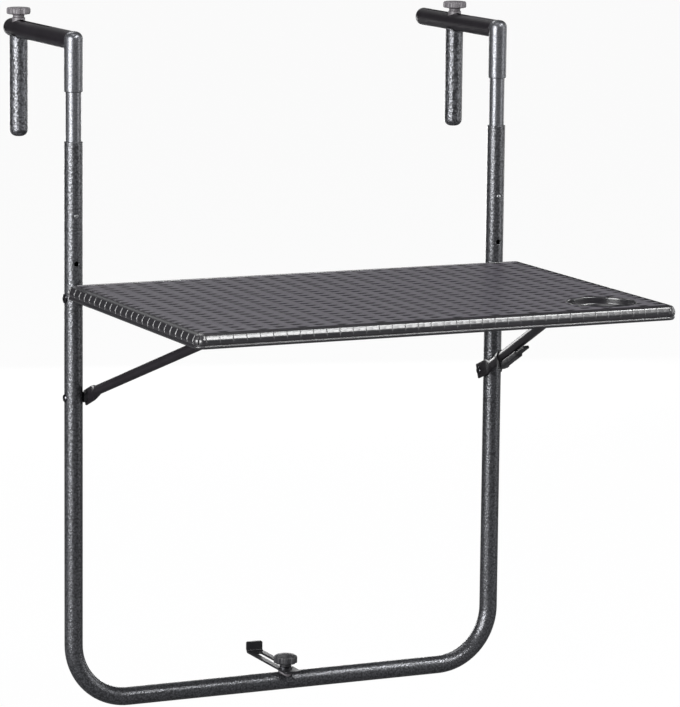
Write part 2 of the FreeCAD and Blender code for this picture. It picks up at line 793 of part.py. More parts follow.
table_top()
for word, side in SIDES:
    hinge_bracket(word, side)
    hinge_bolt(word, side)


arm_start = blade_length + crimp_length
front_x = bar_front_w / 2
arm_lean = angle_of(blade_x - front_x, bar_length - arm_start)


def bar_shape(name, radius):
    """A round rod along the support bar's two arms and cross piece, in the bar's own plane."""
    vector = FreeCAD.Vector
    x0, y0 = blade_x.number, arm_start.number
    x1, y1 = front_x.number, bar_length.number
    corners = [vector(x0, y0, 0), vector(x1, y1, 0), vector(-x1, y1, 0), vector(-x0, y0, 0)]
    edges, last = [], corners[0]
    for before, corner, after in zip(corners, corners[1:], corners[2:]):
        into = (corner - before).normalize()
        out = (after - corner).normalize()
        half_turn = into.getAngle(out) / 2
        back = bar_bend.number * math.tan(half_turn)
        start, end = corner - into * back, corner + out * back
        bisector = (out - into).normalize()
        centre = corner + bisector * (bar_bend.number / math.cos(half_turn))
        middle = centre - bisector * bar_bend.number
        edges += [Part.LineSegment(last, start).toShape(), Part.Arc(start, middle, end).toShape()]
        last = end
    edges.append(Part.LineSegment(last, corners[-1]).toShape())
    path = Part.Wire(edges)
    into = (corners[1] - corners[0]).normalize()
    ring = Part.Wire([Part.Circle(corners[0], into, radius.number).toShape()])
    feature = doc.addObject("Part::Feature", name)
    feature.Shape = path.makePipeShell([ring], True, False)
    return feature


def support_bar():
    """The U-shaped bar: tube, flattened ends with a crimp, and the rivet holes."""
    tube = cut("bar_tube", bar_shape("bar_outside", bar_d / 2),
               bar_shape("bar_bore", bar_d / 2 - bar_wall))
    ends = []
    crimp_overlap, crimp_step, crimp_swell = 1.0, 0.03, 0.3
    vector = FreeCAD.Vector
    for word, side in SIDES:
        lean = math.radians(arm_lean.number) * -side
        axis = vector(math.sin(lean), math.cos(lean), 0)
        centre = vector(side * blade_x.number, arm_start.number, 0) + axis * crimp_overlap
        round_r = bar_d.number / 2 - crimp_step
        round_end = Part.Ellipse(centre + Z_AXIS * round_r,
                                 centre + Z_AXIS.cross(axis) * round_r * 0.999, centre)
        flat_centre = vector(side * blade_x.number, blade_length.number, 0)
        flat_end = Part.Ellipse(flat_centre + Z_AXIS * (blade_w.number / 2 + crimp_swell),
                                flat_centre + Z_AXIS.cross(Y_AXIS) * (blade_t.number / 2 + crimp_swell),
                                flat_centre)
        crimp = doc.addObject("Part::Feature", "bar_crimp_" + word)
        crimp.Shape = Part.makeLoft([Part.Wire([flat_end.toShape()]), Part.Wire([round_end.toShape()])],
                                    True, True)
        blade = box("bar_blade_" + word,
                    (side * blade_x - blade_t / 2, -blade_tail, -blade_w / 2),
                    (side * blade_x + blade_t / 2, blade_length + 1, blade_w / 2))
        ends.append(fuse("bar_end_" + word, crimp, blade))
    solid = fuse("bar_solid", fuse("bar_one_end", tube, ends[0]), ends[1])
    hole = rod("bar_holes", rivet_d / 2 + pivot_gap, leg_x * 2, (-leg_x, 0, 0), X_AXIS)
    bar = cut("support_bar_cut", solid, hole)
    keep("support_bar", place(bar, 0, leg_y, pivot_z, X_AXIS, 180 - bar_rise))


def bar_pivot(word, side):
    """The rivet that carries one arm of the bar, and the spacer between leg and arm."""
    outside = leg_x + tube_r + face_gap
    length = outside - blade_x + blade_t / 2 + face_gap
    head_h = as_size(1.4)
    rivet = turned("bar_rivet_body_" + word, (
        (0, -head_h), (rivet_d * 0.8, -head_h), (rivet_d, -head_h * 0.2), (rivet_d, 0), (rivet_d / 2, 0),
        (rivet_d / 2, length), (rivet_d, length), (rivet_d * 0.8, length + head_h * 0.8),
        (0, length + head_h)))
    keep("bar_rivet_" + word, place(rivet, side * (outside - length), leg_y, pivot_z,
                                    Y_AXIS, 90 * side))
    low = side * (leg_x - tube_r - face_gap) - (spacer_t if side == RIGHT else 0)
    ring = rod("spacer_blank_" + word, rivet_d * 1.3, spacer_t, (low, leg_y, pivot_z), X_AXIS)
    hole = rod("spacer_hole_" + word, rivet_d / 2 + pivot_gap, tube_d * 2,
               (side * leg_x - tube_d, leg_y, pivot_z), X_AXIS)
    keep("bar_spacer_" + word, cut("bar_spacer_cut_" + word, ring, hole))


def bar_cradle(word, side):
    """The moulded cradle that the cross piece rests in, open to the front."""
    x = side * cradle_offset
    grip_r = bar_d / 2 + slide_gap
    low = seat_z - bar_d * 0.38
    block = box("cradle_block_" + word, (x - cradle_w / 2, seat_y - 4, low),
                (x + cradle_w / 2, seat_y + cradle_depth, pad_under))
    groove = rod("cradle_groove_" + word, grip_r, cradle_w + CUT_MARGIN * 2,
                 (x - cradle_w / 2 - CUT_MARGIN, seat_y, seat_z), X_AXIS)
    mouth = box("cradle_mouth_" + word, (x - cradle_w, seat_y - 10, low - 10),
                (x + cradle_w, seat_y, seat_z + grip_r))
    holes = [rod("cradle_hole_%s_%d" % (word, i), screw_shank_r + face_gap, tube_d * 2,
                 (hx, hy, low - tube_d)) for i, (hx, hy) in enumerate(cradle_screw_places(side))]
    keep("bar_cradle_" + word, cut("bar_cradle_cut_" + word, block, groove, mouth, *holes))


def cradle_screws():
    """The four screws that hold the two cradles."""
    low = seat_z - bar_d * 0.38
    screws = []
    for word, side in SIDES:
        for i, (x, y) in enumerate(cradle_screw_places(side)):
            screws.append(tapping_screw("cradle_screw_%s_%d" % (word, i), x, y, low,
                                        pad_under - low + 7))
    keep("cradle_screws", fuse("cradle_screws_group", *screws))


support_bar()
cradle_screws()
for word, side in SIDES:
    bar_pivot(word, side)
    bar_cradle(word, side)


def on_right_arm(along, below):
    """A point beside the right arm: its distance from the pivot along the bar's plane, and below it."""
    x = blade_x - (along - arm_start) * (blade_x - front_x) / (bar_length - arm_start)
    y = leg_y - along * cosine(bar_rise) - below * sine(bar_rise)
    z = pivot_z + along * sine(bar_rise) - below * cosine(bar_rise)
    return x, y, z


def along_arm(obj, point):
    """Turn an object so that its Y runs up the right arm and its Z points down, and place it."""
    turn = (FreeCAD.Rotation(X_AXIS, 180 - bar_rise.number)
            * FreeCAD.Rotation(Z_AXIS, arm_lean.number))
    obj.Placement = FreeCAD.Placement(FreeCAD.Vector(0, 0, 0), turn)
    bind(obj, Placement__Base__x=point[0], Placement__Base__y=point[1], Placement__Base__z=point[2])
    return obj


lever_pin_below = bar_d / 2 + 1 + lever_h / 2
lever_pin_d = as_size(3)


def release_lever():
    """The lever under the right arm: a thick body with a thin finger tongue in front."""
    top, low = -lever_h / 2, lever_h / 2
    behind = lever_h / 2
    tongue_top = top + 1.6
    body = extruded("lever_outline", (
        (-behind, top + 1.5), (-behind + 1.5, top), (lever_body - behind - 2, top),
        (lever_body - behind, tongue_top), (lever_body + lever_tongue - behind, tongue_top),
        (lever_body + lever_tongue - behind - 2.5, tongue_top + tongue_h),
        (lever_body - behind, tongue_top + tongue_h), (lever_body - behind - 2.5, low),
        (-behind + 2.5, low), (-behind, low - 2.5)), lever_w)
    hole = rod("lever_hole", lever_pin_d / 2 + pivot_gap, lever_w * 3, (-lever_w * 1.5, 0, 0), X_AXIS)
    lever = cut("release_lever_cut", body, hole)
    keep("release_lever", along_arm(lever, on_right_arm(lever_start, lever_pin_below)))


def lever_clip():
    """The clip round the arm whose two ears hold the lever's pin."""
    length = as_size(9)
    ring_r = bar_d / 2 + 1.8
    ear_t = as_size(1.6)
    ear_x = lever_w / 2 + slide_gap
    sleeve = rod("clip_sleeve", ring_r, length, (0, -length / 2, 0), Y_AXIS)
    cheeks = box("clip_cheeks", (-ear_x - ear_t, -length / 2, 0),
                 (ear_x + ear_t, length / 2, lever_pin_below + 3))
    room = box("clip_room", (-ear_x, -length, 0), (ear_x, length, lever_pin_below + 6))
    hole = rod("clip_pin_hole", lever_pin_d / 2 + pivot_gap, lever_w * 4,
               (-lever_w * 2, 0, lever_pin_below), X_AXIS)
    bore = rod("clip_bore", bar_d / 2 + face_gap / 2, length * 2, (0, -length, 0), Y_AXIS)
    clip = cut("lever_clip_cut", fuse("clip_blank", sleeve, cheeks), room, hole, bore)
    keep("lever_clip", along_arm(clip, on_right_arm(lever_start, as_size(0))))


def lever_pin():
    """The pin that the lever turns on."""
    half = lever_w / 2 + slide_gap + 2.2
    x, y, z = on_right_arm(lever_start, lever_pin_below)
    pin = doc.addObject("Part::Cylinder", "lever_pin_rod")
    bind(pin, Radius=lever_pin_d / 2, Height=half * 2)
    along_arm(pin, (x - half * cosine(arm_lean), y + half * sine(arm_lean) * cosine(bar_rise),
                    z - half * sine(arm_lean) * sine(bar_rise)))
    pin.Placement.Rotation = pin.Placement.Rotation * FreeCAD.Rotation(Y_AXIS, 90)
    keep("lever_pin", pin)


def lever_spring():
    """The leaf spring between the arm and the lever's back."""
    top = -lever_h / 2
    leaf = as_size(0.35)
    body = extruded("lever_spring_leaf", (
        (8, top - leaf - 0.02), (16, top - leaf - 0.02), (26, top - 0.95), (27, top - 0.95),
        (27, top - 0.6), (26, top - 0.6), (16, top - 0.02), (8, top - 0.02)), as_size(4))
    keep("lever_spring", along_arm(body, on_right_arm(lever_start, lever_pin_below)))


release_lever()
lever_clip()
lever_pin()
lever_spring()

strip_low = crest_z + saddle_rise + face_gap
strip_high = strip_low + strip_t
foot_washer_h = as_size(1.2)
foot_washer_z = strip_high + face_gap
foot_knob_z = foot_washer_z + foot_washer_h + face_gap


def foot_saddle():
    """The saddle that seats the flat strip on the round bottom tube."""
    skirt = tube_r * 0.55
    blank = rod("saddle_blank", saddle_d / 2, skirt + saddle_rise, (0, leg_y, crest_z - skirt))
    groove = rod("saddle_groove", tube_r + face_gap / 2, saddle_d * 2, (-saddle_d, leg_y, bottom_z),
                 X_AXIS)
    hole = rod("saddle_hole", screw_d / 2 + pivot_gap, tube_d, (0, leg_y, bottom_z))
    keep("foot_saddle", cut("foot_saddle_cut", blank, groove, hole))


def foot_strip():
    """The slotted strip whose upturned end bears on the railing."""
    back = leg_y + strip_back
    body = extruded("strip_bent", (
        (leg_y - strip_front, strip_low), (back, strip_low), (back, strip_low + plate_up),
        (back - strip_t, strip_low + plate_up), (back - strip_t, strip_high),
        (leg_y - strip_front, strip_high)), strip_w)
    slot = slot_shape("strip_slot", as_size(0), leg_y - strip_slot_w / 2 - 4, back - strip_t * 5,
                      strip_slot_w, strip_low - 2, strip_high + 2)
    keep("foot_strip", cut("foot_strip_cut", body, slot))
    pad = box("foot_pad_block", (-strip_w / 2, back, strip_low + strip_t),
              (strip_w / 2, back + pad_t, strip_low + plate_up))
    keep("foot_pad", rounded("foot_pad_round", pad, as_size(1),
                             lambda edge: edge.BoundBox.YMin > (back + pad_t).number - 0.01))


def foot_fasteners():
    """Washer, screw, insert nut and knob of the foot clamp."""
    ring = rod("foot_washer_ring", knob_neck_d / 2 + 1.5, foot_washer_h, (0, leg_y, foot_washer_z))
    hole = rod("foot_washer_hole", screw_d / 2 + pivot_gap, tube_d, (0, leg_y, foot_washer_z - tube_r))
    keep("foot_washer", cut("foot_washer_cut", ring, hole))
    nut_low = crest_z - foot_nut_depth
    screw_top = foot_knob_z + knob_neck + foot_knob_head * 0.6
    screw_low = nut_low + 1
    keep("foot_screw", rod("foot_screw_rod", screw_d / 2, screw_top - screw_low,
                           (0, leg_y, screw_low)))
    barrel_r = screw_d / 2 + foot_nut_wall - pivot_gap
    barrel_top = bottom_z + root_of(tube_r * tube_r - barrel_r * barrel_r) - face_gap
    flange_r, flange_h, bore_r = screw_d / 2 + foot_flange_wall, as_size(1), tube_r - tube_wall
    flange_top = bottom_z + root_of(bore_r * bore_r - flange_r * flange_r) - face_gap
    flange = rod("foot_nut_flange", flange_r, flange_h, (0, leg_y, flange_top - flange_h))
    barrel = rod("foot_nut_barrel", barrel_r, barrel_top - nut_low, (0, leg_y, nut_low))
    bore = rod("foot_nut_bore", screw_d / 2 + pivot_gap, tube_d, (0, leg_y, nut_low - 1))
    keep("foot_nut", cut("foot_nut_cut", fuse("foot_nut_blank", flange, barrel), bore))
    knob("foot_knob", as_size(0), leg_y, foot_knob_z, foot_knob_head, knob_neck, as_size(2.6))


foot_saddle()
foot_strip()
foot_fasteners()


def check_and_export():
    """Stop on any failed feature or bad solid, then write one file for each sub-part."""
    doc.recompute()
    failed = [obj.Name for obj in doc.Objects if "Invalid" in obj.State or "Error" in obj.State]
    if failed:
        raise RuntimeError("failed features: " + ", ".join(failed))
    for name, obj in nodes.items():
        if obj.Shape.isNull() or not obj.Shape.isValid() or not obj.Shape.Solids:
            raise RuntimeError("bad solid: " + name)
    os.makedirs("parts", exist_ok=True)
    for name, obj in nodes.items():
        obj.Shape.exportStep("parts/%s.step" % name)
    print("wrote", len(nodes), "sub-parts")


check_and_export()
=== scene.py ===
"""Balcony railing bar table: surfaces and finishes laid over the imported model, in the model's own frame.

Lengths inside the shape functions are in millimetres and become metres when a mesh is made.
The railing runs along X, the table top lies on the -Y side of it, and Z is up.
"""

import json
import math

import bmesh
import bpy
import numpy as np
from mathutils import Matrix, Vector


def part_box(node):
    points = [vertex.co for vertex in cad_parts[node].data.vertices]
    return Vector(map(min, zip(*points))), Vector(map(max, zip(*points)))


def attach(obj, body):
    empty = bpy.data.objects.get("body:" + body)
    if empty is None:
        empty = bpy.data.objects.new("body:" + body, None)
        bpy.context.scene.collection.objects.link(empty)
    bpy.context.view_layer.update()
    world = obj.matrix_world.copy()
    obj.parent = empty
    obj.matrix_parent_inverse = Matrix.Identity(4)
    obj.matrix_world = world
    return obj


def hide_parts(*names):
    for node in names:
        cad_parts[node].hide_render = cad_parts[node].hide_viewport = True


bl_info = {
    "name": "Balcony Railing Table",
    "version": (1, 0, 0),
    "blender": (4, 5, 0),
    "location": "View3D > Sidebar > Railing Table",
    "description": "Builds the shapes and finishes of a folding table that hangs on a balcony railing",
    "category": "Add Mesh",
}

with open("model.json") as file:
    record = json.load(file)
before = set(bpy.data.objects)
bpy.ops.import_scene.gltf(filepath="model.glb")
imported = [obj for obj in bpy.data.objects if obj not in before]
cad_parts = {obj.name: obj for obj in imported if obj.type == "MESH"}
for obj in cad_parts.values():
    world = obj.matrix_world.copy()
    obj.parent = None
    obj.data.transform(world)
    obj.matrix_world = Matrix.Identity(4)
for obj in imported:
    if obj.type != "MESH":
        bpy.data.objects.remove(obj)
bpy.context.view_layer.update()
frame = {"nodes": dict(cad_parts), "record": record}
MM = 0.001
LEFT, RIGHT = ("left", -1), ("right", 1)


def node_box(node):
    """Lowest and highest corner of a CAD node, in millimetres."""
    low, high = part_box(node)
    return np.array(low) / MM, np.array(high) / MM


def linear(hexcode):
    """An sRGB hex colour as linear red, green, blue and alpha."""
    parts = [int(hexcode[i:i + 2], 16) / 255 for i in (1, 3, 5)]
    return [c / 12.92 if c <= 0.04045 else ((c + 0.055) / 1.055) ** 2.4 for c in parts] + [1.0]


def length_property(name, description, millimetres):
    """A length shown in the scene's units, given in millimetres."""
    return bpy.props.FloatProperty(name=name, description=description, default=millimetres * MM,
                                   min=0.0, subtype="DISTANCE", unit="LENGTH", precision=5)


def colour_property(name, description, hexcode):
    """A colour given as an sRGB hex value."""
    return bpy.props.FloatVectorProperty(name=name, description=description, default=linear(hexcode),
                                         size=4, min=0.0, max=1.0, subtype="COLOR")


# Sizes and colours that a user would change

class RailingTableTopSizes(bpy.types.PropertyGroup):
    strand_pitch: length_property("Strand pitch", "Spacing of the moulded weave's strands", 8.05)
    stake_pitch: length_property("Stake pitch", "Spacing of the uprights that the strands cross", 23.8)
    relief: length_property("Weave relief", "Depth that a strand dips under a stake", 1.3)
    reed_pitch: length_property("Reed pitch", "Width of one upright reed round the skirt", 16.0)
    reed_depth: length_property("Reed depth", "Depth of the groove between two reeds", 1.8)
    reed_shoulder: length_property("Reed shoulder", "Width of a reed's rounded shoulder", 2.0)
    corner: length_property("Corner radius", "Radius of the top's four corners", 12.0)


class RailingTableTubeSizes(bpy.types.PropertyGroup):
    wall: length_property("Tube wall", "Wall of the frame, hook and pin tubes", 1.5)
    bend: length_property("Frame bend", "Radius of the frame's two lower bends", 70.0)
    lip: length_property("Tube lip", "Rounding of the cut tube ends", 1.0)
    dome: length_property("Sleeve dome", "Rounding of the closed top of a hook's sleeve", 8.5)
    bar_bend: length_property("Support bar bend", "Radius of the support bar's two bends", 28.0)


class RailingTableKnobSizes(bpy.types.PropertyGroup):
    scallop: length_property("Scallop radius", "Radius of each of the eight finger scallops", 3.77)
    edge: length_property("Edge rounding", "Rounding of the knob's rims", 1.0)


class RailingTableFinishes(bpy.types.PropertyGroup):
    hammer: colour_property("Hammer enamel", "Silvery pools of the hammer-tone enamel", "#5c5d61")
    satin: colour_property("Satin enamel", "Smooth dark enamel of the hook arms and the bar", "#19171a")
    crown: colour_property("Weave crowns", "Raised strands of the moulded weave", "#4c4950")
    anthracite: colour_property("Anthracite", "Polypropylene of the skirt and the underside", "#1f1e21")
    nylon: colour_property("Nylon", "Moulded nylon of the knobs", "#514e51")
    black: colour_property("Black plastic", "Small black mouldings", "#19191b")


# Shapes as arrays

def along(corners, bend, step, dense=()):
    """Points, directions and lengths along straight runs joined by round bends.

    Each corner is cut back by bend * tan(half the turn) and bridged by an arc; the whole line is then
    read at even steps of its length, with finer steps inside the stretches listed in dense.
    """
    corners = [np.array(corner, float) for corner in corners]
    line = [corners[0][None]]
    for before, corner, after in zip(corners, corners[1:], corners[2:]):
        into = (corner - before) / np.linalg.norm(corner - before)
        out = (after - corner) / np.linalg.norm(after - corner)
        half = math.acos(float(np.clip(into @ out, -1, 1))) / 2
        inward = (out - into) / np.linalg.norm(out - into)
        ahead = (into + out) / np.linalg.norm(into + out)
        centre = corner + inward * bend / math.cos(half)
        angles = np.linspace(-half, half, 65)[:, None]
        line.append(centre + bend * (np.sin(angles) * ahead - np.cos(angles) * inward))
    line.append(corners[-1][None])
    line = np.concatenate(line)
    gaps = np.linalg.norm(np.diff(line, axis=0), axis=1)
    line = line[np.concatenate([[True], gaps > 1e-6])]
    run = np.concatenate([[0], np.cumsum(np.linalg.norm(np.diff(line, axis=0), axis=1))])
    stations = [np.linspace(0, run[-1], max(2, int(run[-1] / step)))]
    stations += [np.linspace(start, end, max(2, int((end - start) / fine))) for start, end, fine in dense]
    stations = np.unique(np.concatenate(stations).round(3))
    points = np.stack([np.interp(stations, run, line[:, axis]) for axis in range(3)], axis=1)
    ahead, behind = np.clip(stations + 0.5, 0, run[-1]), np.clip(stations - 0.5, 0, run[-1])
    heading = np.stack([np.interp(ahead, run, line[:, axis]) - np.interp(behind, run, line[:, axis])
                        for axis in range(3)], axis=1)
    return points, heading / np.linalg.norm(heading, axis=1)[:, None], stations


def carried(points, heading, normal, across, up):
    """A ring carried along a path: point + across * side + up * normal, with side = normal x heading.

    across and up hold the ring's offsets, one row per path point or one for all.
    """
    normal = np.array(normal, float)
    side = np.cross(normal, heading)
    side = side / np.linalg.norm(side, axis=1)[:, None]
    square = np.cross(heading, side)
    return (points[:, None, :] + side[:, None, :] * np.asarray(across)[..., None]
            + square[:, None, :] * np.asarray(up)[..., None])


def ring(count, radius=1.0):
    """A full turn as radius * cosine and radius * sine."""
    angles = np.linspace(0, 2 * math.pi, count, endpoint=False)
    return radius * np.cos(angles), radius * np.sin(angles)


def squared_ring(count, half_w, half_h, power):
    """Superellipse sections: half size * sign * |cos or sin| ** (2 / power), one row per station."""
    angles = np.linspace(0, 2 * math.pi, count, endpoint=False)[None, :] + 1e-4
    half_w, half_h, power = (np.atleast_1d(np.asarray(v, float))[:, None] for v in (half_w, half_h, power))
    cosine, sine = np.cos(angles), np.sin(angles)
    return (half_w * np.sign(cosine) * np.abs(cosine) ** (2 / power),
            half_h * np.sign(sine) * np.abs(sine) ** (2 / power))


def softened(outline, radius, steps=5):
    """An open outline with each inner corner replaced by a parabola tangent to both edges."""
    outline = np.array(outline, float)
    pieces = [outline[:1]]
    t = np.linspace(0, 1, steps)[:, None]
    for before, corner, after in zip(outline, outline[1:], outline[2:]):
        back, ahead = before - corner, after - corner
        back_len, ahead_len = np.linalg.norm(back), np.linalg.norm(ahead)
        start = corner + back / back_len * min(radius, back_len * 0.45)
        end = corner + ahead / ahead_len * min(radius, ahead_len * 0.45)
        pieces.append((1 - t) ** 2 * start + 2 * t * (1 - t) * corner + t ** 2 * end)
    pieces.append(outline[-1:])
    return np.concatenate(pieces)


def turned(profile, count, rule=None):
    """A profile of radius and height turned about Z; rule(angle, radius) may change the radius.

    A profile that ends on the axis closes there by itself.
    """
    angles = np.linspace(0, 2 * math.pi, count, endpoint=False)[None, :]
    radius = np.repeat(profile[:, :1], count, axis=1)
    height = np.repeat(profile[:, 1:], count, axis=1)
    if rule is not None:
        radius = rule(angles, radius)
    return np.stack([radius * np.cos(angles), radius * np.sin(angles), height], axis=2)


def moved(points, offset):
    """The points shifted by an offset."""
    return points + np.array(offset, float)


def facing_y(points):
    """Turn a shape so that its +Z points along +Y."""
    return np.stack([points[..., 0], points[..., 2], -points[..., 1]], axis=-1)


def smooth_step(value, low, high):
    """0 below low, 1 above high, and 3t^2 - 2t^3 between them."""
    t = np.clip((value - low) / (high - low), 0, 1)
    return t * t * (3 - 2 * t)


def rounding(distance, radius):
    """How far a surface draws in near its end: radius - sqrt(radius^2 - (radius - distance)^2)."""
    return radius - np.sqrt(np.clip(radius ** 2 - np.maximum(radius - distance, 0) ** 2, 0, None))


class Shell:
    """Quads over a grid of points, with its ends closed by poles where wanted."""

    def __init__(self, points, wrap_rows=False, wrap_columns=True, first=False, last=False, drop=None):
        rows, columns = points.shape[:2]
        index = np.arange(rows * columns).reshape(rows, columns)
        if wrap_columns:
            index = np.concatenate([index, index[:, :1]], axis=1)
        if wrap_rows:
            index = np.concatenate([index, index[:1]], axis=0)
        quads = np.stack([index[:-1, :-1], index[:-1, 1:], index[1:, 1:], index[1:, :-1]], axis=2)
        quads = quads.reshape(-1, 4)
        if drop is not None:
            quads = quads[~drop.reshape(-1)[quads].all(axis=1)]
        self.points = [points.reshape(-1, 3)]
        self.faces = [tuple(face) for face in quads.tolist()]
        self.count = rows * columns
        if first:
            self.close(points[0].mean(axis=0), index[0][::-1])
        if last:
            self.close(points[-1].mean(axis=0), index[rows - 1])

    def close(self, centre, loop):
        """Close one end with a fan of triangles to a pole at its middle."""
        self.points.append(centre[None])
        loop = [int(i) for i in loop]
        self.faces += [(a, b, self.count) for a, b in zip(loop, loop[1:])]
        self.count += 1


def pierced(points, drop, start, end, radius, outward, tube=None):
    """Open a round or round-ended hole in a grid of points.

    Points nearer than the radius to the line from start to end, seen along the outward direction, move
    out to the hole's edge; those on a tube then go back to its radius. drop marks the points moved so
    far, whose faces are left out.
    """
    start, end, outward = (np.array(v, float) for v in (start, end, outward))
    flat = points - start
    depth = flat @ outward
    flat = flat - depth[..., None] * outward
    run = end - start
    span = run @ run
    share = np.clip(flat @ run / span, 0, 1) if span > 0 else np.zeros(flat.shape[:2])
    away = flat - share[..., None] * run
    distance = np.linalg.norm(away, axis=-1)
    inside = (distance < radius) & (depth > -radius * 1.6)
    push = away / np.maximum(distance, 1e-6)[..., None] * (radius - distance)[..., None]
    result = np.where(inside[..., None], points + push, points)
    if tube is not None:
        centre, axis, tube_radius = np.array(tube[0], float), np.array(tube[1], float), tube[2]
        offset = result - centre
        height = (offset @ axis)[..., None] * axis
        radial = offset - height
        radial = radial / np.linalg.norm(radial, axis=-1)[..., None] * tube_radius
        result = np.where(inside[..., None], centre + height + radial, result)
    return result, inside | drop


def round_outline(length, inset, width, depth, corner):
    """Points round a rounded rectangle at a length round it, drawn in by an inset, as x and y.

    A point is the matching point of the rectangle through the corner circles' centres plus the outward
    direction times (corner - inset). The length starts at the front side's left end and runs
    anticlockwise. Also returns which of the eight runs a point is on, and its share of that run.
    """
    half_w, half_d = width / 2 - corner, depth / 2 - corner
    arc = corner * math.pi / 2
    runs = np.array([2 * half_w, arc, 2 * half_d, arc] * 2)
    marks = np.concatenate([[0], np.cumsum(runs)])
    which = np.clip(np.searchsorted(marks, length, side="right") - 1, 0, 7)
    share = (length - marks[which]) / runs[which]
    quarter = which // 2
    starts = np.array([[-half_w, -half_d], [half_w, -half_d], [half_w, half_d], [-half_w, half_d]])
    ends = np.roll(starts, -1, axis=0)
    straight = which % 2 == 0
    base = np.where(straight[:, None], starts[quarter] + (ends[quarter] - starts[quarter]) * share[:, None],
                    ends[quarter])
    angle = (quarter - 1 + np.where(straight, 0, share)) * math.pi / 2
    outward = np.stack([np.cos(angle), np.sin(angle)], axis=1)
    return base[:, None, :] + outward[:, None, :] * (corner - np.asarray(inset))[..., None], which, share


def rounded_sheet(xs, ys, half, corner):
    """A flat grid whose corners are drawn in to arcs; also the distance of each point to the edge."""
    y, x = np.meshgrid(ys, xs, indexing="ij")
    out_x, out_y = np.abs(x) - half[0] + corner, np.abs(y) - half[1] + corner
    reach = np.hypot(np.maximum(out_x, 0), np.maximum(out_y, 0))
    pull = np.where((out_x > 0) & (out_y > 0) & (reach > corner), corner / np.maximum(reach, 1e-6), 1.0)
    x = np.where(pull < 1, np.sign(x) * (half[0] - corner + out_x * pull), x)
    y = np.where(pull < 1, np.sign(y) * (half[1] - corner + out_y * pull), y)
    edge = np.where((out_x > 0) & (out_y > 0), corner - np.minimum(reach, corner),
                    np.minimum(half[0] - np.abs(x), half[1] - np.abs(y)))
    return x, y, edge


# Meshes

def new_piece(name, shells, finish, body, nodes=(), sharp=35, wall=0.0, bevel=0.0):
    """Put shells into one mesh object at the origin and let it ride on its body."""
    points, faces, start = [], [], 0
    for shell in shells:
        points += shell.points
        faces += [tuple(i + start for i in face) for face in shell.faces]
        start += shell.count
    mesh = bpy.data.meshes.new(name)
    mesh.from_pydata((np.concatenate(points) * MM).tolist(), [], faces)
    editing = bmesh.new()
    editing.from_mesh(mesh)
    bmesh.ops.remove_doubles(editing, verts=editing.verts, dist=2e-6)
    bmesh.ops.dissolve_degenerate(editing, dist=1e-6, edges=editing.edges)
    bmesh.ops.delete(editing, geom=[v for v in editing.verts if not v.link_faces], context="VERTS")
    if all(edge.is_manifold for edge in editing.edges):
        bmesh.ops.recalc_face_normals(editing, faces=editing.faces)
    editing.to_mesh(mesh)
    editing.free()
    mesh.shade_smooth()
    mesh.set_sharp_from_angle(angle=math.radians(sharp))
    mesh.materials.append(finish)
    piece = bpy.data.objects.new(name, mesh)
    bpy.context.scene.collection.objects.link(piece)
    if wall:
        thickness = piece.modifiers.new("wall", "SOLIDIFY")
        thickness.thickness = wall * MM
        thickness.offset = -1
        thickness.use_even_offset = True
    if bevel:
        edge = piece.modifiers.new("edge", "BEVEL")
        edge.width = bevel * MM
        edge.segments = 2
        edge.limit_method = "ANGLE"
        edge.angle_limit = math.radians(40)
    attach(piece, body)
    if nodes:
        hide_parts(*nodes)
    return piece


# Finishes

def add(tree, kind, settings=None, values=None, links=None, stops=()):
    """Add one node with its settings, its socket values, its incoming links and a colour ramp's stops."""
    node = tree.nodes.new(kind)
    for name, value in (settings or {}).items():
        setattr(node, name, value)
    for name, value in (values or {}).items():
        node.inputs[name].default_value = value
    for name, socket in (links or {}).items():
        tree.links.new(socket, node.inputs[name])
    for number, (level, colour) in enumerate(stops):
        node.color_ramp.elements[number].position = level
        node.color_ramp.elements[number].color = colour
    return node


def blank_finish(name, **values):
    """A new material with one Principled shader; its tree is None if the material exists already."""
    finish = bpy.data.materials.get(name)
    if finish:
        return finish, None, None
    finish = bpy.data.materials.new(name)
    finish.use_nodes = True
    tree = finish.node_tree
    shader = tree.nodes["Principled BSDF"]
    for socket, value in values.items():
        shader.inputs[socket.replace("_", " ")].default_value = value
    return finish, tree, shader


def shade_of(colour, share):
    """A colour times a share, kept below white."""
    return [min(1.0, c * share) for c in colour[:3]] + [1.0]


def per_metre(millimetres):
    """The scale of a pattern whose grain has a width in mm, as Object coordinates are in metres."""
    return 1000.0 / millimetres


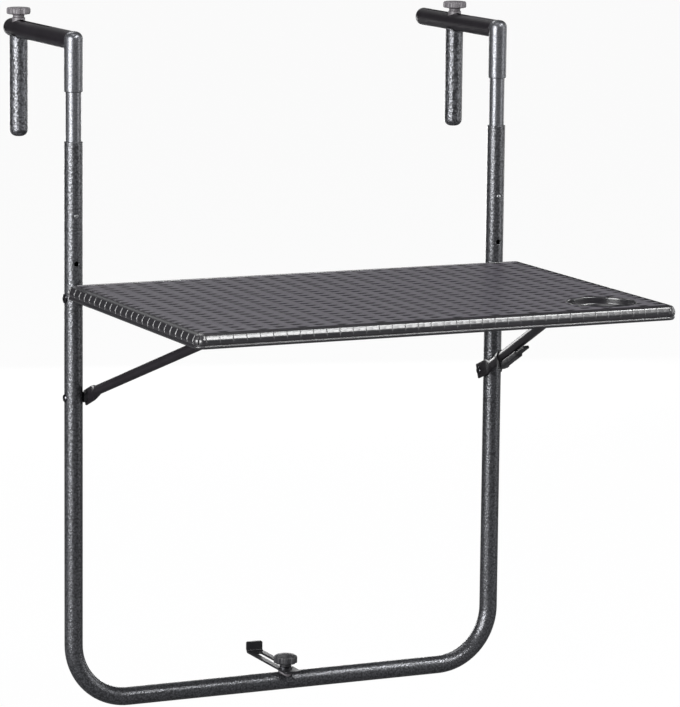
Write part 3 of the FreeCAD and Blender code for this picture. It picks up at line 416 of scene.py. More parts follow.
def mottled_finish(name, width, detail, dark, light, gloss=None, relief=None, grain=None, **values):
    """A finish that drifts between two shades in patches of a width in mm.

    dark and light are each a level of the noise with its colour. gloss is the roughness at the noise's
    lowest and highest level. relief is a bump's strength and height in mm, over the patches or, where
    grain gives a width in mm, over a finer noise. The values go to the shader's sockets.
    """
    finish, tree, shader = blank_finish(name, **values)
    if tree is None:
        return finish
    place = add(tree, "ShaderNodeTexCoord").outputs["Object"]
    patches = add(tree, "ShaderNodeTexNoise", values={"Scale": per_metre(width), "Detail": detail},
                  links={"Vector": place})
    colour = add(tree, "ShaderNodeValToRGB", links={"Fac": patches.outputs["Fac"]}, stops=(dark, light))
    tree.links.new(colour.outputs["Color"], shader.inputs["Base Color"])
    if gloss:
        rough = add(tree, "ShaderNodeMapRange", values={"To Min": gloss[0], "To Max": gloss[1]},
                    links={"Value": patches.outputs["Fac"]})
        tree.links.new(rough.outputs["Result"], shader.inputs["Roughness"])
    if relief:
        height = patches
        if grain:
            height = add(tree, "ShaderNodeTexNoise", values={"Scale": per_metre(grain), "Detail": 3.0},
                         links={"Vector": place})
        bump = add(tree, "ShaderNodeBump", values={"Strength": relief[0], "Distance": relief[1] * MM},
                   links={"Height": height.outputs["Fac"]})
        tree.links.new(bump.outputs["Normal"], shader.inputs["Normal"])
    return finish


def hammer_tone_enamel(colours, name="hammer_tone_enamel", depth=0.4, pools=1.1, pitch=2.3, veins=0.3):
    """Hammer-tone enamel sprayed on steel tube: aluminium flake floats into silvery pools, with darker
    veins between them, so the eye sees a beaten surface that breaks highlights into glints.

    The pools are a pitch in mm apart and wander by under a millimetre over about 4 mm, with a fleck of
    0.9 mm on top. depth is the relief's strength; pools is the brightness of a pool as a share of the
    hammer colour, and veins that of a vein as a share of a pool's.
    """
    finish, tree, shader = blank_finish(name, Metallic=0.7, Roughness=0.3, Coat_Weight=0.3,
                                        Coat_Roughness=0.24)
    if tree is None:
        return finish
    place = add(tree, "ShaderNodeTexCoord").outputs["Object"]
    wander = add(tree, "ShaderNodeTexNoise", values={"Scale": per_metre(4.1667), "Detail": 2.0},
                 links={"Vector": place})
    bent = add(tree, "ShaderNodeMixRGB", {"blend_type": "LINEAR_LIGHT"}, {"Fac": 0.8 * MM},
               {"Color1": place, "Color2": wander.outputs["Color"]})
    cells = add(tree, "ShaderNodeTexVoronoi", {"feature": "SMOOTH_F1"},
                {"Scale": per_metre(pitch), "Smoothness": 0.7}, {"Vector": bent.outputs["Color"]})
    fleck = add(tree, "ShaderNodeTexNoise", values={"Scale": per_metre(0.90909), "Detail": 2.0},
                links={"Vector": place})
    height = add(tree, "ShaderNodeMath", {"operation": "MULTIPLY_ADD"}, {1: 0.3},
                 {0: fleck.outputs["Fac"], 2: cells.outputs["Distance"]})
    pool = shade_of(colours.hammer, pools)
    vein = shade_of(colours.hammer, pools * veins)
    colour = add(tree, "ShaderNodeValToRGB", links={"Fac": height.outputs[0]},
                 stops=((0.25, pool), (0.8, vein)))
    tree.links.new(colour.outputs["Color"], shader.inputs["Base Color"])
    gloss = add(tree, "ShaderNodeMapRange", links={"Value": height.outputs[0]},
                values={"From Min": 0.2, "From Max": 0.8, "To Min": 0.24, "To Max": 0.38})
    tree.links.new(gloss.outputs["Result"], shader.inputs["Roughness"])
    bump = add(tree, "ShaderNodeBump", {"invert": True}, {"Strength": depth, "Distance": 0.26 * MM * pitch},
               {"Height": height.outputs[0]})
    for socket in ("Normal", "Coat Normal"):
        tree.links.new(bump.outputs["Normal"], shader.inputs[socket])
    return finish


def fine_hammer_enamel(colours):
    """The hammer-tone enamel in a thin coat, on the sleeves and the inner tubes: small, shallow, pale
    pools, so the eye sees a brighter and smoother tube than the frame's."""
    return hammer_tone_enamel(colours, "fine_hammer_enamel", depth=0.17, pools=1.7, pitch=1.5, veins=0.38)


def deep_hammer_enamel(colours):
    """The hammer-tone enamel in a thick coat, on the drop pins: deep pools with dark veins, so the eye
    sees coarse glints."""
    return hammer_tone_enamel(colours, "deep_hammer_enamel", depth=0.65, pools=1.5, pitch=2.4, veins=0.22)


def satin_enamel(colours, name="smooth_satin_enamel", tint=None, rough=0.33):
    """Powder-coated steel with a satin face: dark and even, with a fine orange peel of about 1 mm that
    softens the edge of a highlight."""
    tint = tint or list(colours.satin)
    return mottled_finish(name, 16.667, 3.0, (0.3, tint), (0.75, shade_of(tint, 1.35)), relief=(0.1, 0.2),
                          grain=1.0526, Roughness=rough, IOR=1.5, Specular_IOR_Level=0.3)


def black_satin_enamel(colours):
    """Black powder coat of the foot strip and the hinge brackets, a little glossier than the hook arms'."""
    return satin_enamel(colours, "black_satin_enamel", linear("#1c1c1e"), 0.3)


def moulded_polypropylene(colours, name="moulded_polypropylene", rough=0.36, strength=0.1):
    """Injection-moulded polypropylene, anthracite: a waxy sheen over a spark-eroded grain, with faint
    flow clouding about 3 cm across. The real grain of under 0.1 mm wouldn't show, so it is drawn 0.7 mm
    wide."""
    return mottled_finish(name, 28.571, 4.0, (0.3, shade_of(colours.anthracite, 0.85)),
                          (0.7, shade_of(colours.anthracite, 1.15)), relief=(strength, 0.15), grain=0.71429,
                          Roughness=rough, IOR=1.49, Coat_Weight=0.8, Coat_Roughness=0.2)


def polished_polypropylene(colours):
    """The same polypropylene off a polished mould face, in the cup recess: glossier and less grained."""
    return moulded_polypropylene(colours, "polished_polypropylene", 0.3, 0.08)


def woven_polypropylene(colours, pit_z, crown_z):
    """The same polypropylene on the moulded weave: its colour is painted darker with depth, from the strand
    crowns down to the pits, as painted shade, so the basket pattern reads from afar. Random wear on top of
    that comes in patches of about 2.4 mm, and the grain is drawn 0.7 mm wide, as on the border."""
    finish, tree, shader = blank_finish("woven_polypropylene", Roughness=0.32, IOR=1.49,
                                        Specular_IOR_Level=0.35)
    if tree is None:
        return finish
    place = add(tree, "ShaderNodeTexCoord").outputs["Object"]
    axes = add(tree, "ShaderNodeSeparateXYZ", links={"Vector": place})
    level = add(tree, "ShaderNodeMapRange", values={"From Min": pit_z * MM, "From Max": crown_z * MM},
                links={"Value": axes.outputs["Z"]})
    wear = add(tree, "ShaderNodeTexNoise", values={"Scale": per_metre(2.381), "Detail": 4.0},
               links={"Vector": place})
    # Height level plus random wear: the lower a point of the weave, the darker its painted shade.
    painted_shade_and_wear = add(tree, "ShaderNodeMath", {"operation": "MULTIPLY_ADD"}, {1: 0.22},
               {0: wear.outputs["Fac"], 2: level.outputs["Result"]})
    # The dark stop is painted shade in the weave's pits; the light stop is the crowns' own colour.
    colour = add(tree, "ShaderNodeValToRGB", links={"Fac": painted_shade_and_wear.outputs[0]},
                 stops=((0.35, shade_of(colours.anthracite, 0.3)), (1.0, colours.crown)))
    tree.links.new(colour.outputs["Color"], shader.inputs["Base Color"])
    gloss = add(tree, "ShaderNodeMapRange", values={"To Min": 0.7, "To Max": 0.3},
                links={"Value": level.outputs["Result"]})
    tree.links.new(gloss.outputs["Result"], shader.inputs["Roughness"])
    grain = add(tree, "ShaderNodeTexNoise", values={"Scale": per_metre(0.71429), "Detail": 3.0},
                links={"Vector": place})
    bump = add(tree, "ShaderNodeBump", values={"Strength": 0.25, "Distance": 0.15 * MM},
               links={"Height": grain.outputs["Fac"]})
    tree.links.new(bump.outputs["Normal"], shader.inputs["Normal"])
    return finish


def moulded_nylon(colours, name="moulded_nylon", tint=None, rough=0.45):
    """Fibre-filled nylon or similar, moulded: matte, with a dusty grain of paler flecks. Its real
    grain of about 0.1 mm is drawn 0.9 mm wide, so that it shows."""
    tint = tint or list(colours.nylon)
    return mottled_finish(name, 0.90909, 3.0, (0.35, tint), (0.75, shade_of(tint, 1.5)), relief=(0.3, 0.2),
                          Roughness=rough, IOR=1.53)


def black_moulding(colours):
    """Black nylon of the end caps, spacers, clip and release lever, off a smoother mould than the knobs'."""
    return moulded_nylon(colours, "black_moulding", list(colours.black), 0.38)


def zinc_plate(colours):
    """Bright zinc plate on small steel parts: pale grey metal with a soft spangle of 2 mm and light wear."""
    return mottled_finish("zinc_plate", 2.0, 4.0, (0.3, linear("#8f9194")), (0.7, linear("#c9cbcc")),
                          gloss=(0.2, 0.42), Metallic=1.0, Roughness=0.3)


def spring_wire(colours):
    """Drawn spring steel, bare: grey metal with a faint straw tone from tempering, in patches of 1.4 mm."""
    return mottled_finish("spring_wire", 1.4286, 4.0, (0.3, linear("#6d6a64")), (0.7, linear("#9b9892")),
                          Metallic=1.0, Roughness=0.34)


def blackened_steel(colours):
    """Black-oxide steel of bolts and rivets: dark metal with a low, oily sheen and a bloom of 3 mm."""
    return mottled_finish("blackened_steel", 3.3333, 4.0, (0.35, linear("#3c3c3f")),
                          (0.75, linear("#66666a")), Metallic=1.0, Roughness=0.28)


def soft_rubber(colours):
    """Soft black rubber, moulded: very matte, with a faint bloom in patches of 4 mm."""
    return mottled_finish("soft_rubber", 4.1667, 4.0, (0.3, linear("#141415")), (0.8, linear("#2b2b2c")),
                          Roughness=0.85, IOR=1.52)


# The stage

CAMERA = {"place": (-1.9392007, -4.3452914, 0.4060487), "yaw": 0.434, "pitch": 0.1633, "roll": 0.0107,
          "lens_px": 3954.33, "frame_px": (680, 707)}
FLOOR_Z = -0.95
FLOOR_RADII = np.array([0.0, 2000.0, 8000.0, 40000.0])
FLOOR_PAINT, FLOOR_SEEN = linear("#606062"), linear("#e6e6e8")
FLOOR_GLOW, WORLD_GLOW, WORLD_FILL = 0.955, 0.965, 0.06
LAMPS = (  # name, place, aim, width and height, watts
    ("key_softbox", (-3.1, -1.5, 0.2), (0, -0.1, -0.2), (2.4, 2.1), 225.0),
    ("left_strip", (-3.28, 0.9, 0.15), (0, 0, -0.25), (0.9, 2.1), 6.0),
    ("side_softbox", (2.85, -1.9, 0.15), (0, -0.1, -0.25), (2.1, 2.1), 34.0),
    ("right_strip", (3.28, 0.9, 0.15), (0, 0, -0.25), (0.9, 2.1), 15.0),
    ("back_bank", (2.05, 3.7, 0.6), (0, -0.25, -0.28), (2.3, 0.9), 3.5),
    ("rear_softbox", (-0.2, 2.6, 2.5), (0, -0.2, -0.3), (2.4, 1.0), 34.0),
    ("low_back_softbox", (0.9, 3.2, -0.55), (0, 0, -0.55), (2.6, 0.55), 24.0),
    ("front_bank", (0.9, -3.4, 2.3), (0, -0.4, -0.4), (1.85, 0.5), 88.0),
    ("bar_softbox", (1.95, -2.1, 2.63), (0, 0, -0.83), (1.3, 0.5), 75.0),
    ("top_softbox", (-0.6, -0.6, 2.6), (0, -0.2, -0.3), (1.6, 1.2), 14.0),
)


def look_rotation(way, roll):
    """The rotation whose -Z looks along a direction with the world's +Z up, then rolled."""
    right = np.cross(way, (0, 0, 1))
    right = right / np.linalg.norm(right)
    up = np.cross(right, way)
    turned_right = math.cos(roll) * right + math.sin(roll) * up
    turned_up = math.cos(roll) * up - math.sin(roll) * right
    return Matrix(np.stack([turned_right, turned_up, -way], axis=1).tolist())


class RAILINGTABLE_OT_stage(bpy.types.Operator):
    """Set the pale floor, the soft lamps and the camera at the photograph's viewing angle"""
    bl_idname = "railing_table.stage"
    bl_label = "Stage"

    def execute(self, context):
        self.floor(context)
        self.world(context)
        self.lamps(context)
        self.camera(context)
        return {"FINISHED"}

    def floor(self, context):
        """A round floor, ring radii times cosine and sine, pale to the camera and grey to the light."""
        height = np.full(FLOOR_RADII.shape, FLOOR_Z / MM)
        shell = Shell(turned(np.stack([FLOOR_RADII, height], axis=1), 96))
        mesh = bpy.data.meshes.new("pale_floor")
        mesh.from_pydata((np.concatenate(shell.points) * MM).tolist(), [], shell.faces)
        mesh.validate()
        mesh.flip_normals()
        floor = bpy.data.objects.new("pale_floor", mesh)
        context.scene.collection.objects.link(floor)
        finish, tree, shader = blank_finish("pale_backdrop_paint", Roughness=0.9)
        path = add(tree, "ShaderNodeLightPath")
        paint = add(tree, "ShaderNodeMixRGB", values={"Color1": FLOOR_PAINT, "Color2": FLOOR_SEEN},
                    links={"Fac": path.outputs["Is Camera Ray"]})
        tree.links.new(paint.outputs["Color"], shader.inputs["Base Color"])
        glow = add(tree, "ShaderNodeEmission", values={"Color": linear("#ffffff"), "Strength": 1.0})
        share = add(tree, "ShaderNodeMath", {"operation": "MULTIPLY"}, {1: FLOOR_GLOW},
                    {0: path.outputs["Is Camera Ray"]})
        blend = add(tree, "ShaderNodeMixShader", links={0: share.outputs[0], 1: shader.outputs["BSDF"],
                                                        2: glow.outputs["Emission"]})
        tree.links.new(blend.outputs["Shader"], tree.nodes["Material Output"].inputs["Surface"])
        mesh.materials.append(finish)

    def world(self, context):
        """White to the camera, a much softer even light to everything else."""
        world = bpy.data.worlds.new("studio_light")
        context.scene.world = world
        world.use_nodes = True
        tree = world.node_tree
        tree.nodes.clear()
        path = add(tree, "ShaderNodeLightPath")
        seen = add(tree, "ShaderNodeBackground", values={"Color": linear("#ffffff"), "Strength": WORLD_GLOW})
        fill = add(tree, "ShaderNodeBackground", values={"Color": linear("#f4f6fa"), "Strength": WORLD_FILL})
        blend = add(tree, "ShaderNodeMixShader", links={0: path.outputs["Is Camera Ray"],
                                                        1: fill.outputs[0], 2: seen.outputs[0]})
        add(tree, "ShaderNodeOutputWorld", links={"Surface": blend.outputs[0]})

    def lamps(self, context):
        """Large softboxes: a broad key at the left, a narrower one at the right, a strip behind each, one
        low behind for the sheen on the top, one below it for the tubes' backs, soft ones high behind, in
        front and above, and one aimed at the bottom tube."""
        for name, place, aim, size, watts in LAMPS:
            lamp = bpy.data.lights.new(name, "AREA")
            lamp.shape = "RECTANGLE"
            lamp.size, lamp.size_y = size
            lamp.energy = watts
            holder = bpy.data.objects.new(name, lamp)
            context.scene.collection.objects.link(holder)
            way = np.array(aim, float) - np.array(place, float)
            holder.rotation_euler = look_rotation(way / np.linalg.norm(way), 0.0).to_euler()
            holder.location = place
            holder.visible_camera = False

    def camera(self, context):
        """Long lens at the fitted place: yaw from +Y towards +X, pitch down, roll about the view."""
        lens = bpy.data.cameras.new("photo_camera")
        lens.sensor_fit = "AUTO"
        lens.sensor_width = 36.0
        lens.lens = CAMERA["lens_px"] * lens.sensor_width / max(CAMERA["frame_px"])
        lens.clip_end = 200.0
        camera = bpy.data.objects.new("photo_camera", lens)
        context.scene.collection.objects.link(camera)
        yaw, pitch = CAMERA["yaw"], CAMERA["pitch"]
        way = (math.sin(yaw) * math.cos(pitch), math.cos(yaw) * math.cos(pitch), -math.sin(pitch))
        camera.rotation_euler = look_rotation(np.array(way), CAMERA["roll"]).to_euler()
        camera.location = CAMERA["place"]
        context.scene.camera = camera
        context.scene.view_settings.view_transform = "Standard"


# The moulded top

TOP_LOW, TOP_HIGH = node_box("table_top")
TOP_W, TOP_D = (TOP_HIGH - TOP_LOW)[:2]
TOP_Z = TOP_HIGH[2]
TOP_MIDDLE = (TOP_LOW + TOP_HIGH)[:2] / 2
BORDER, PLATE, SKIRT, INNER_CORNER = 9.0, 3.5, 3.0, 9.0
RIB_LOW, PAD_LOW, RIB_HALF, RIB_BAYS = TOP_Z - 12.5, TOP_Z - 13.5, 1.0, (6, 4)
REED_FLAT, HAIR_DEPTH, HAIR_WIDTH = 0.34, 0.07, 0.45
STRAND_ROUND, DIP_REACH = 0.9, 9.5
STAKE_HALF, STAKE_DEPTH, STAKE_ROUND = 3.4, 0.95, 0.9
FIELD_SINK, FIELD_FADE, FIELD_FALL = 0.15, 1.4, 1.6
# Depths below the top's face between which the reeds set in, and between which they end
REED_START, REED_END = (1.6, 3.4), (10.6, 12.2)
CUP_CENTRE = np.array([TOP_HIGH[0] - 70.0, TOP_LOW[1] + 58.0])
CUP_R, CUP_DEPTH = 39.5, 11.0
FRAME_LOW, FRAME_HIGH = node_box("main_frame")
TUBE_R = -FRAME_LOW[1] / 2
LEG_X, LEG_Y = FRAME_HIGH[0] - TUBE_R, -TUBE_R
NOTCH_HALF = TUBE_R + 1.5
NOTCH_TOP = -281.4


class RAILINGTABLE_OT_moulded_top(bpy.types.Operator):
    """Mould the top: its woven field, reeded skirt, cup recess and ribbed underside"""
    bl_idname = "railing_table.moulded_top"
    bl_label = "Moulded Top"

    def execute(self, context):
        sizes = context.scene.railing_table_top
        colours = context.scene.railing_table_finishes
        plastic = moulded_polypropylene(colours)
        new_piece("top_skirt", [self.skirt(sizes)], plastic, "top", ["table_top"], sharp=75)
        new_piece("top_field", [self.field(sizes)],
                  woven_polypropylene(colours, TOP_Z - 1.3, TOP_Z - 0.2), "top",
                  sharp=80)
        new_piece("top_cup_recess", [self.recess()], polished_polypropylene(colours), "top",
                  sharp=50)
        new_piece("top_underside", self.underside(), plastic, "top", sharp=30)
        return {"FINISHED"}

    def skirt(self, sizes):
        """Border and skirt: a profile of inset and height carried round the rounded rectangle.

        Below the border the surface is cut into reeds: at a distance s from the seam between two reeds
        the inset grows by depth * (1 - sqrt(1 - (1 - s / shoulder)^2)). Along the front and the back the
        shoulder is REED_FLAT as wide and the cut REED_FLAT^1.4 as deep. A hair groove runs along each
        reed's middle: HAIR_DEPTH * exp(-(distance / HAIR_WIDTH)^2).
        """
        border = softened([
            (9.6, -2.6), (9.2, -0.75), (8.7, -0.05), (8.0, -0.05), (7.45, -0.6), (6.8, -0.9),
            (4.8, -1.05), (3.3, -1.6), (2.4, -2.6), (1.55, -4.2), (0.75, -5.8), (0.2, -7.0),
            (0.0, -8.6), (0.15, -10.4), (0.6, -12.2), (1.3, -12.9), (1.35, -13.3), (0.7, -13.8),
            (0.3, -14.4), (0.35, -15.1), (0.9, -15.6), (1.5, -16.0), (1.7, -16.8)], 0.45, 2)
        inner = np.array([(2.2, -17.0), (3.0, -16.6), (3.0, -4.1), (3.6, -3.7), (9.6, -3.6)])
        profile = np.concatenate([border, inner])
        inset, height = profile[:, 0], profile[:, 1]
        corner = sizes.corner / MM
        runs = np.array([TOP_W - 2 * corner, corner * math.pi / 2, TOP_D - 2 * corner,
                         corner * math.pi / 2] * 2)
        reeds = np.maximum(2, np.round(runs / (sizes.reed_pitch / MM)))
        marks = np.concatenate([[0], np.cumsum(runs)])
        flat_reed, round_reed = (np.concatenate([[-1], -np.array(half)[::-1], [0], half]) for half in (
            (0.06, 0.12, 0.8, 0.9, 0.93, 0.96, 0.985), (0.1, 0.75, 0.82, 0.89, 0.945, 0.98)))
        length = np.concatenate([
            marks[i] + runs[i] * (np.arange(n)[:, None]
                                  + ((round_reed if i % 4 else flat_reed) + 1) / 2).ravel() / n
            for i, n in enumerate(reeds.astype(int))])
        notch = np.array([side * LEG_X + edge for _, side in (LEFT, RIGHT)
                          for edge in (-NOTCH_HALF, NOTCH_HALF)])
        back = marks[4] + runs[4] / 2 - notch[np.abs(notch) < runs[4] / 2]
        turn = corner * np.arcsin((NOTCH_HALF + LEG_X - runs[4] / 2) / corner)
        cuts = np.concatenate([back, [marks[5] + turn, marks[4] - turn]])
        jump = 0.04
        length = np.unique(np.concatenate([length, cuts - jump, cuts + jump]).round(4))
        plain, which, part = round_outline(length, inset, TOP_W, TOP_D, corner)
        deeper, _, _ = round_outline(length, inset + 1.0, TOP_W, TOP_D, corner)
        u = np.mod(part * reeds[which] + 1e-9, 1.0) * 2 - 1
        pitch = runs[which] / reeds[which]
        flatter = np.where(which % 4 == 0, REED_FLAT, 1.0)
        away = np.clip((1 - np.abs(u)) * pitch / 2 / (sizes.reed_shoulder / MM * flatter), 0, 1)
        valley = flatter ** 1.4 * (1 - np.sqrt(1 - (1 - away) ** 2))
        hair = np.exp(-(u * pitch / 2 / HAIR_WIDTH) ** 2) * HAIR_DEPTH
        weight = smooth_step(-height, *REED_START) * (1 - smooth_step(-height, *REED_END))
        weight = np.where(np.arange(len(height)) < len(border), weight, 0.0)
        sunk = (valley * sizes.reed_depth / MM + hair)[:, None] * weight[None, :]
        flat = plain + (deeper - plain) * sunk[..., None] + TOP_MIDDLE
        z = np.broadcast_to(TOP_Z + height, flat.shape[:2]).copy()
        at_leg = (flat[..., 1] > TOP_HIGH[1] - corner) & (np.abs(np.abs(flat[..., 0]) - LEG_X) < NOTCH_HALF)
        z = np.where(at_leg, np.maximum(z, NOTCH_TOP), z)
        return Shell(np.concatenate([flat, z[..., None]], axis=2), wrap_rows=True, wrap_columns=True)

    def weave(self, x, y, sizes):
        """Depth of the weave below its crowns: strands along X that dip under every second stake.

        Across a strand the depth is STRAND_ROUND * (1 - (1 - |v|^3)^(1/3)), with v from -1 to 1; along it
        each dip adds relief * cos^2 over DIP_REACH to either side of the stake, and neighbours dip in
        turn. In a dip the stake shows as a low round bar across the strand.
        """
        strand, stake = sizes.strand_pitch / MM, sizes.stake_pitch / MM
        number = np.round(y / strand)
        v = np.abs(y / strand - number) * 2
        side = STRAND_ROUND * (1 - (1 - np.clip(v, 0, 1) ** 3) ** (1 / 3))
        period = x / (2 * stake) + number / 2
        away = np.abs(period - np.round(period)) * 2 * stake
        dip = sizes.relief / MM * np.cos(np.clip(away / DIP_REACH, 0, 1) * math.pi / 2) ** 2
        bar = STAKE_DEPTH + STAKE_ROUND * (1 - np.sqrt(np.clip(1 - (away / STAKE_HALF) ** 2, 0, 1)))
        return np.minimum(side + dip, bar)

    def field(self, sizes):
        """The woven field: a grid over the border's opening with the weave's height, open at the cup.

        Over its last FIELD_FADE it runs down to FIELD_FALL below its crowns, at the border's foot.
        """
        half = np.array([TOP_W, TOP_D]) / 2 - BORDER - 0.1
        x, y, edge = rounded_sheet(np.linspace(-half[0], half[0], 241), np.linspace(-half[1], half[1], 376),
                                   half, max(1.0, sizes.corner / MM - BORDER))
        fade = np.clip(edge / FIELD_FADE, 0, 1)
        z = TOP_Z - FIELD_SINK - self.weave(x, y, sizes) * fade - FIELD_FALL * (1 - fade)
        points = np.stack([x + TOP_MIDDLE[0], y + TOP_MIDDLE[1], z], axis=2)
        cup = (CUP_CENTRE[0], CUP_CENTRE[1], TOP_Z)
        points, drop = pierced(points, np.zeros(x.shape, bool), cup, cup, CUP_R + 1.6, (0, 0, 1))
        return Shell(points, wrap_columns=False, drop=drop)

    def recess(self):
        """The cup recess, its profile turned: the bowl's outside, a rounded lip, the wall, a ringed floor."""
        outer = softened([(0.0, -14.0), (CUP_R - 1, -14.0), (CUP_R + 2.4, -13.2), (CUP_R + 3.4, -10.0),
                          (CUP_R + 3.4, -3.4), (CUP_R + 3.0, -2.4)], 1.4, 4)
        lining = softened([
            (CUP_R + 3.0, -2.4), (CUP_R + 2.2, -0.9), (CUP_R + 1.3, -0.35), (CUP_R + 0.4, -0.8),
            (CUP_R, -2.2), (CUP_R - 0.15, -8.4), (CUP_R - 2.6, -CUP_DEPTH), (CUP_R - 8, -CUP_DEPTH),
            (CUP_R - 9, -10.5), (CUP_R - 10.5, -10.5), (CUP_R - 11.5, -CUP_DEPTH),
            (0.0, -CUP_DEPTH)], 1.0, 5)
        points = turned(np.concatenate([outer, lining[1:]]), 128)
        return Shell(moved(points, (CUP_CENTRE[0], CUP_CENTRE[1], TOP_Z)))

    def underside(self):
        """The plate's underside, its stiffening ribs and the pads that carry brackets and cradles."""
        half = np.array([TOP_W, TOP_D]) / 2 - SKIRT + 0.1
        x, y, _ = rounded_sheet(np.linspace(-half[0], half[0], 40), np.linspace(half[1], -half[1], 30),
                                half, INNER_CORNER)
        plate = TOP_Z - PLATE - 0.05
        sheet = np.stack([x + TOP_MIDDLE[0], y + TOP_MIDDLE[1], np.full(x.shape, plate)], axis=2)
        cup = (CUP_CENTRE[0], CUP_CENTRE[1], plate)
        sheet, drop = pierced(sheet, np.zeros(x.shape, bool), cup, cup, CUP_R + 2.5, (0, 0, 1))
        shells = [Shell(sheet, wrap_columns=False, drop=drop)]
        inset = 2.6
        for axis, bays in enumerate(RIB_BAYS):
            inner = (TOP_W, TOP_D)[axis] - 2 * SKIRT
            for i in range(1, bays):
                low, high = TOP_LOW + inset, TOP_HIGH - inset
                low[axis] = TOP_LOW[axis] + SKIRT + inner * i / bays - RIB_HALF
                high[axis] = low[axis] + 2 * RIB_HALF
                low[2], high[2] = RIB_LOW, plate
                shells.append(self.rib(low, high))
        for word, side in (LEFT, RIGHT):
            low, high = node_box("hinge_bracket_" + word)
            shells.append(self.rib((low[0] - (2 if side < 0 else 0), low[1], PAD_LOW),
                                   (high[0] + (2 if side > 0 else 0), TOP_HIGH[1] - 7, plate)))
            low, high = node_box("bar_cradle_" + word)
            shells.append(self.rib((low[0] - 3, low[1] - 6, PAD_LOW), (high[0] + 3, high[1] + 4, plate)))
        return shells

    def rib(self, low, high):
        """A bar with drafted sides and softened lower edges, its section carried upwards."""
        low, high = np.array(low, float), np.array(high, float)
        centre, half = (low + high) / 2, (high - low) / 2
        rise = np.array([low[2], low[2] + 0.1, low[2] + 0.5, high[2] + 0.4])
        draw = np.array([0.5, 0.25, 0.0, -0.25])
        corners = np.array([[-1, -1], [1, -1], [1, 1], [-1, 1]])
        xy = centre[:2] + corners[None] * (half[:2][None, None, :] - draw[:, None, None])
        return Shell(np.concatenate([xy, np.broadcast_to(rise[:, None, None], (4, 4, 1))], axis=2),
                     first=True, last=True)


# Tubes of the frame, the hooks and the drop pins

BUTTON_PITCH, BUTTON_HOLE = 57.0, 3.3
ARM_R = TUBE_R - 0.01
SLOT_FRONT, SLOT_BACK, SLOT_HALF = 64.5, 179.5, 3.8
CAP_THICK = 4.0
PIN_DOME, MOUTH_START = 8.0, -8.0


class RAILINGTABLE_OT_frame_tube(bpy.types.Operator):
    """Bend the U-shaped frame tube with its rolled lips and button holes"""
    bl_idname = "railing_table.frame_tube"
    bl_label = "Frame Tube"

    def execute(self, context):
        sizes = context.scene.railing_table_tubes
        colours = context.scene.railing_table_finishes
        top, bottom = FRAME_HIGH[2], FRAME_LOW[2] + TUBE_R
        corners = [(-LEG_X, LEG_Y, top), (-LEG_X, LEG_Y, bottom), (LEG_X, LEG_Y, bottom), (LEG_X, LEG_Y, top)]
        low, high = node_box("height_button_left")
        button_z = (low[2] + high[2]) / 2
        holes = [button_z, button_z - BUTTON_PITCH]
        stretches = [(0, sizes.lip / MM + 0.1, 0.12)]
        stretches += [(top - z - 5, top - z + 5, 0.7) for z in holes]
        length = along(corners, sizes.bend / MM, 20)[2][-1]
        stretches += [(length - end, length - start, fine) for start, end, fine in stretches]
        points, heading, run = along(corners, sizes.bend / MM, 5.0, stretches)
        radius = TUBE_R - rounding(np.minimum(run, run[-1] - run), sizes.lip / MM)
        cosine, sine = ring(72)
        grid = carried(points, heading, (0, 1, 0), radius[:, None] * cosine, radius[:, None] * sine)
        drop = np.zeros(grid.shape[:2], bool)
        for _, side in (LEFT, RIGHT):
            for z in holes:
                spot = (side * LEG_X, LEG_Y - TUBE_R, z)
                grid, drop = pierced(grid, drop, spot, spot, BUTTON_HOLE, (0, -1, 0),
                                     ((side * LEG_X, LEG_Y, 0), (0, 0, 1), TUBE_R))
        new_piece("frame_tube", [Shell(grid, drop=drop)], hammer_tone_enamel(colours), "frame",
                  ["main_frame"], sharp=50, wall=sizes.wall / MM)
        return {"FINISHED"}


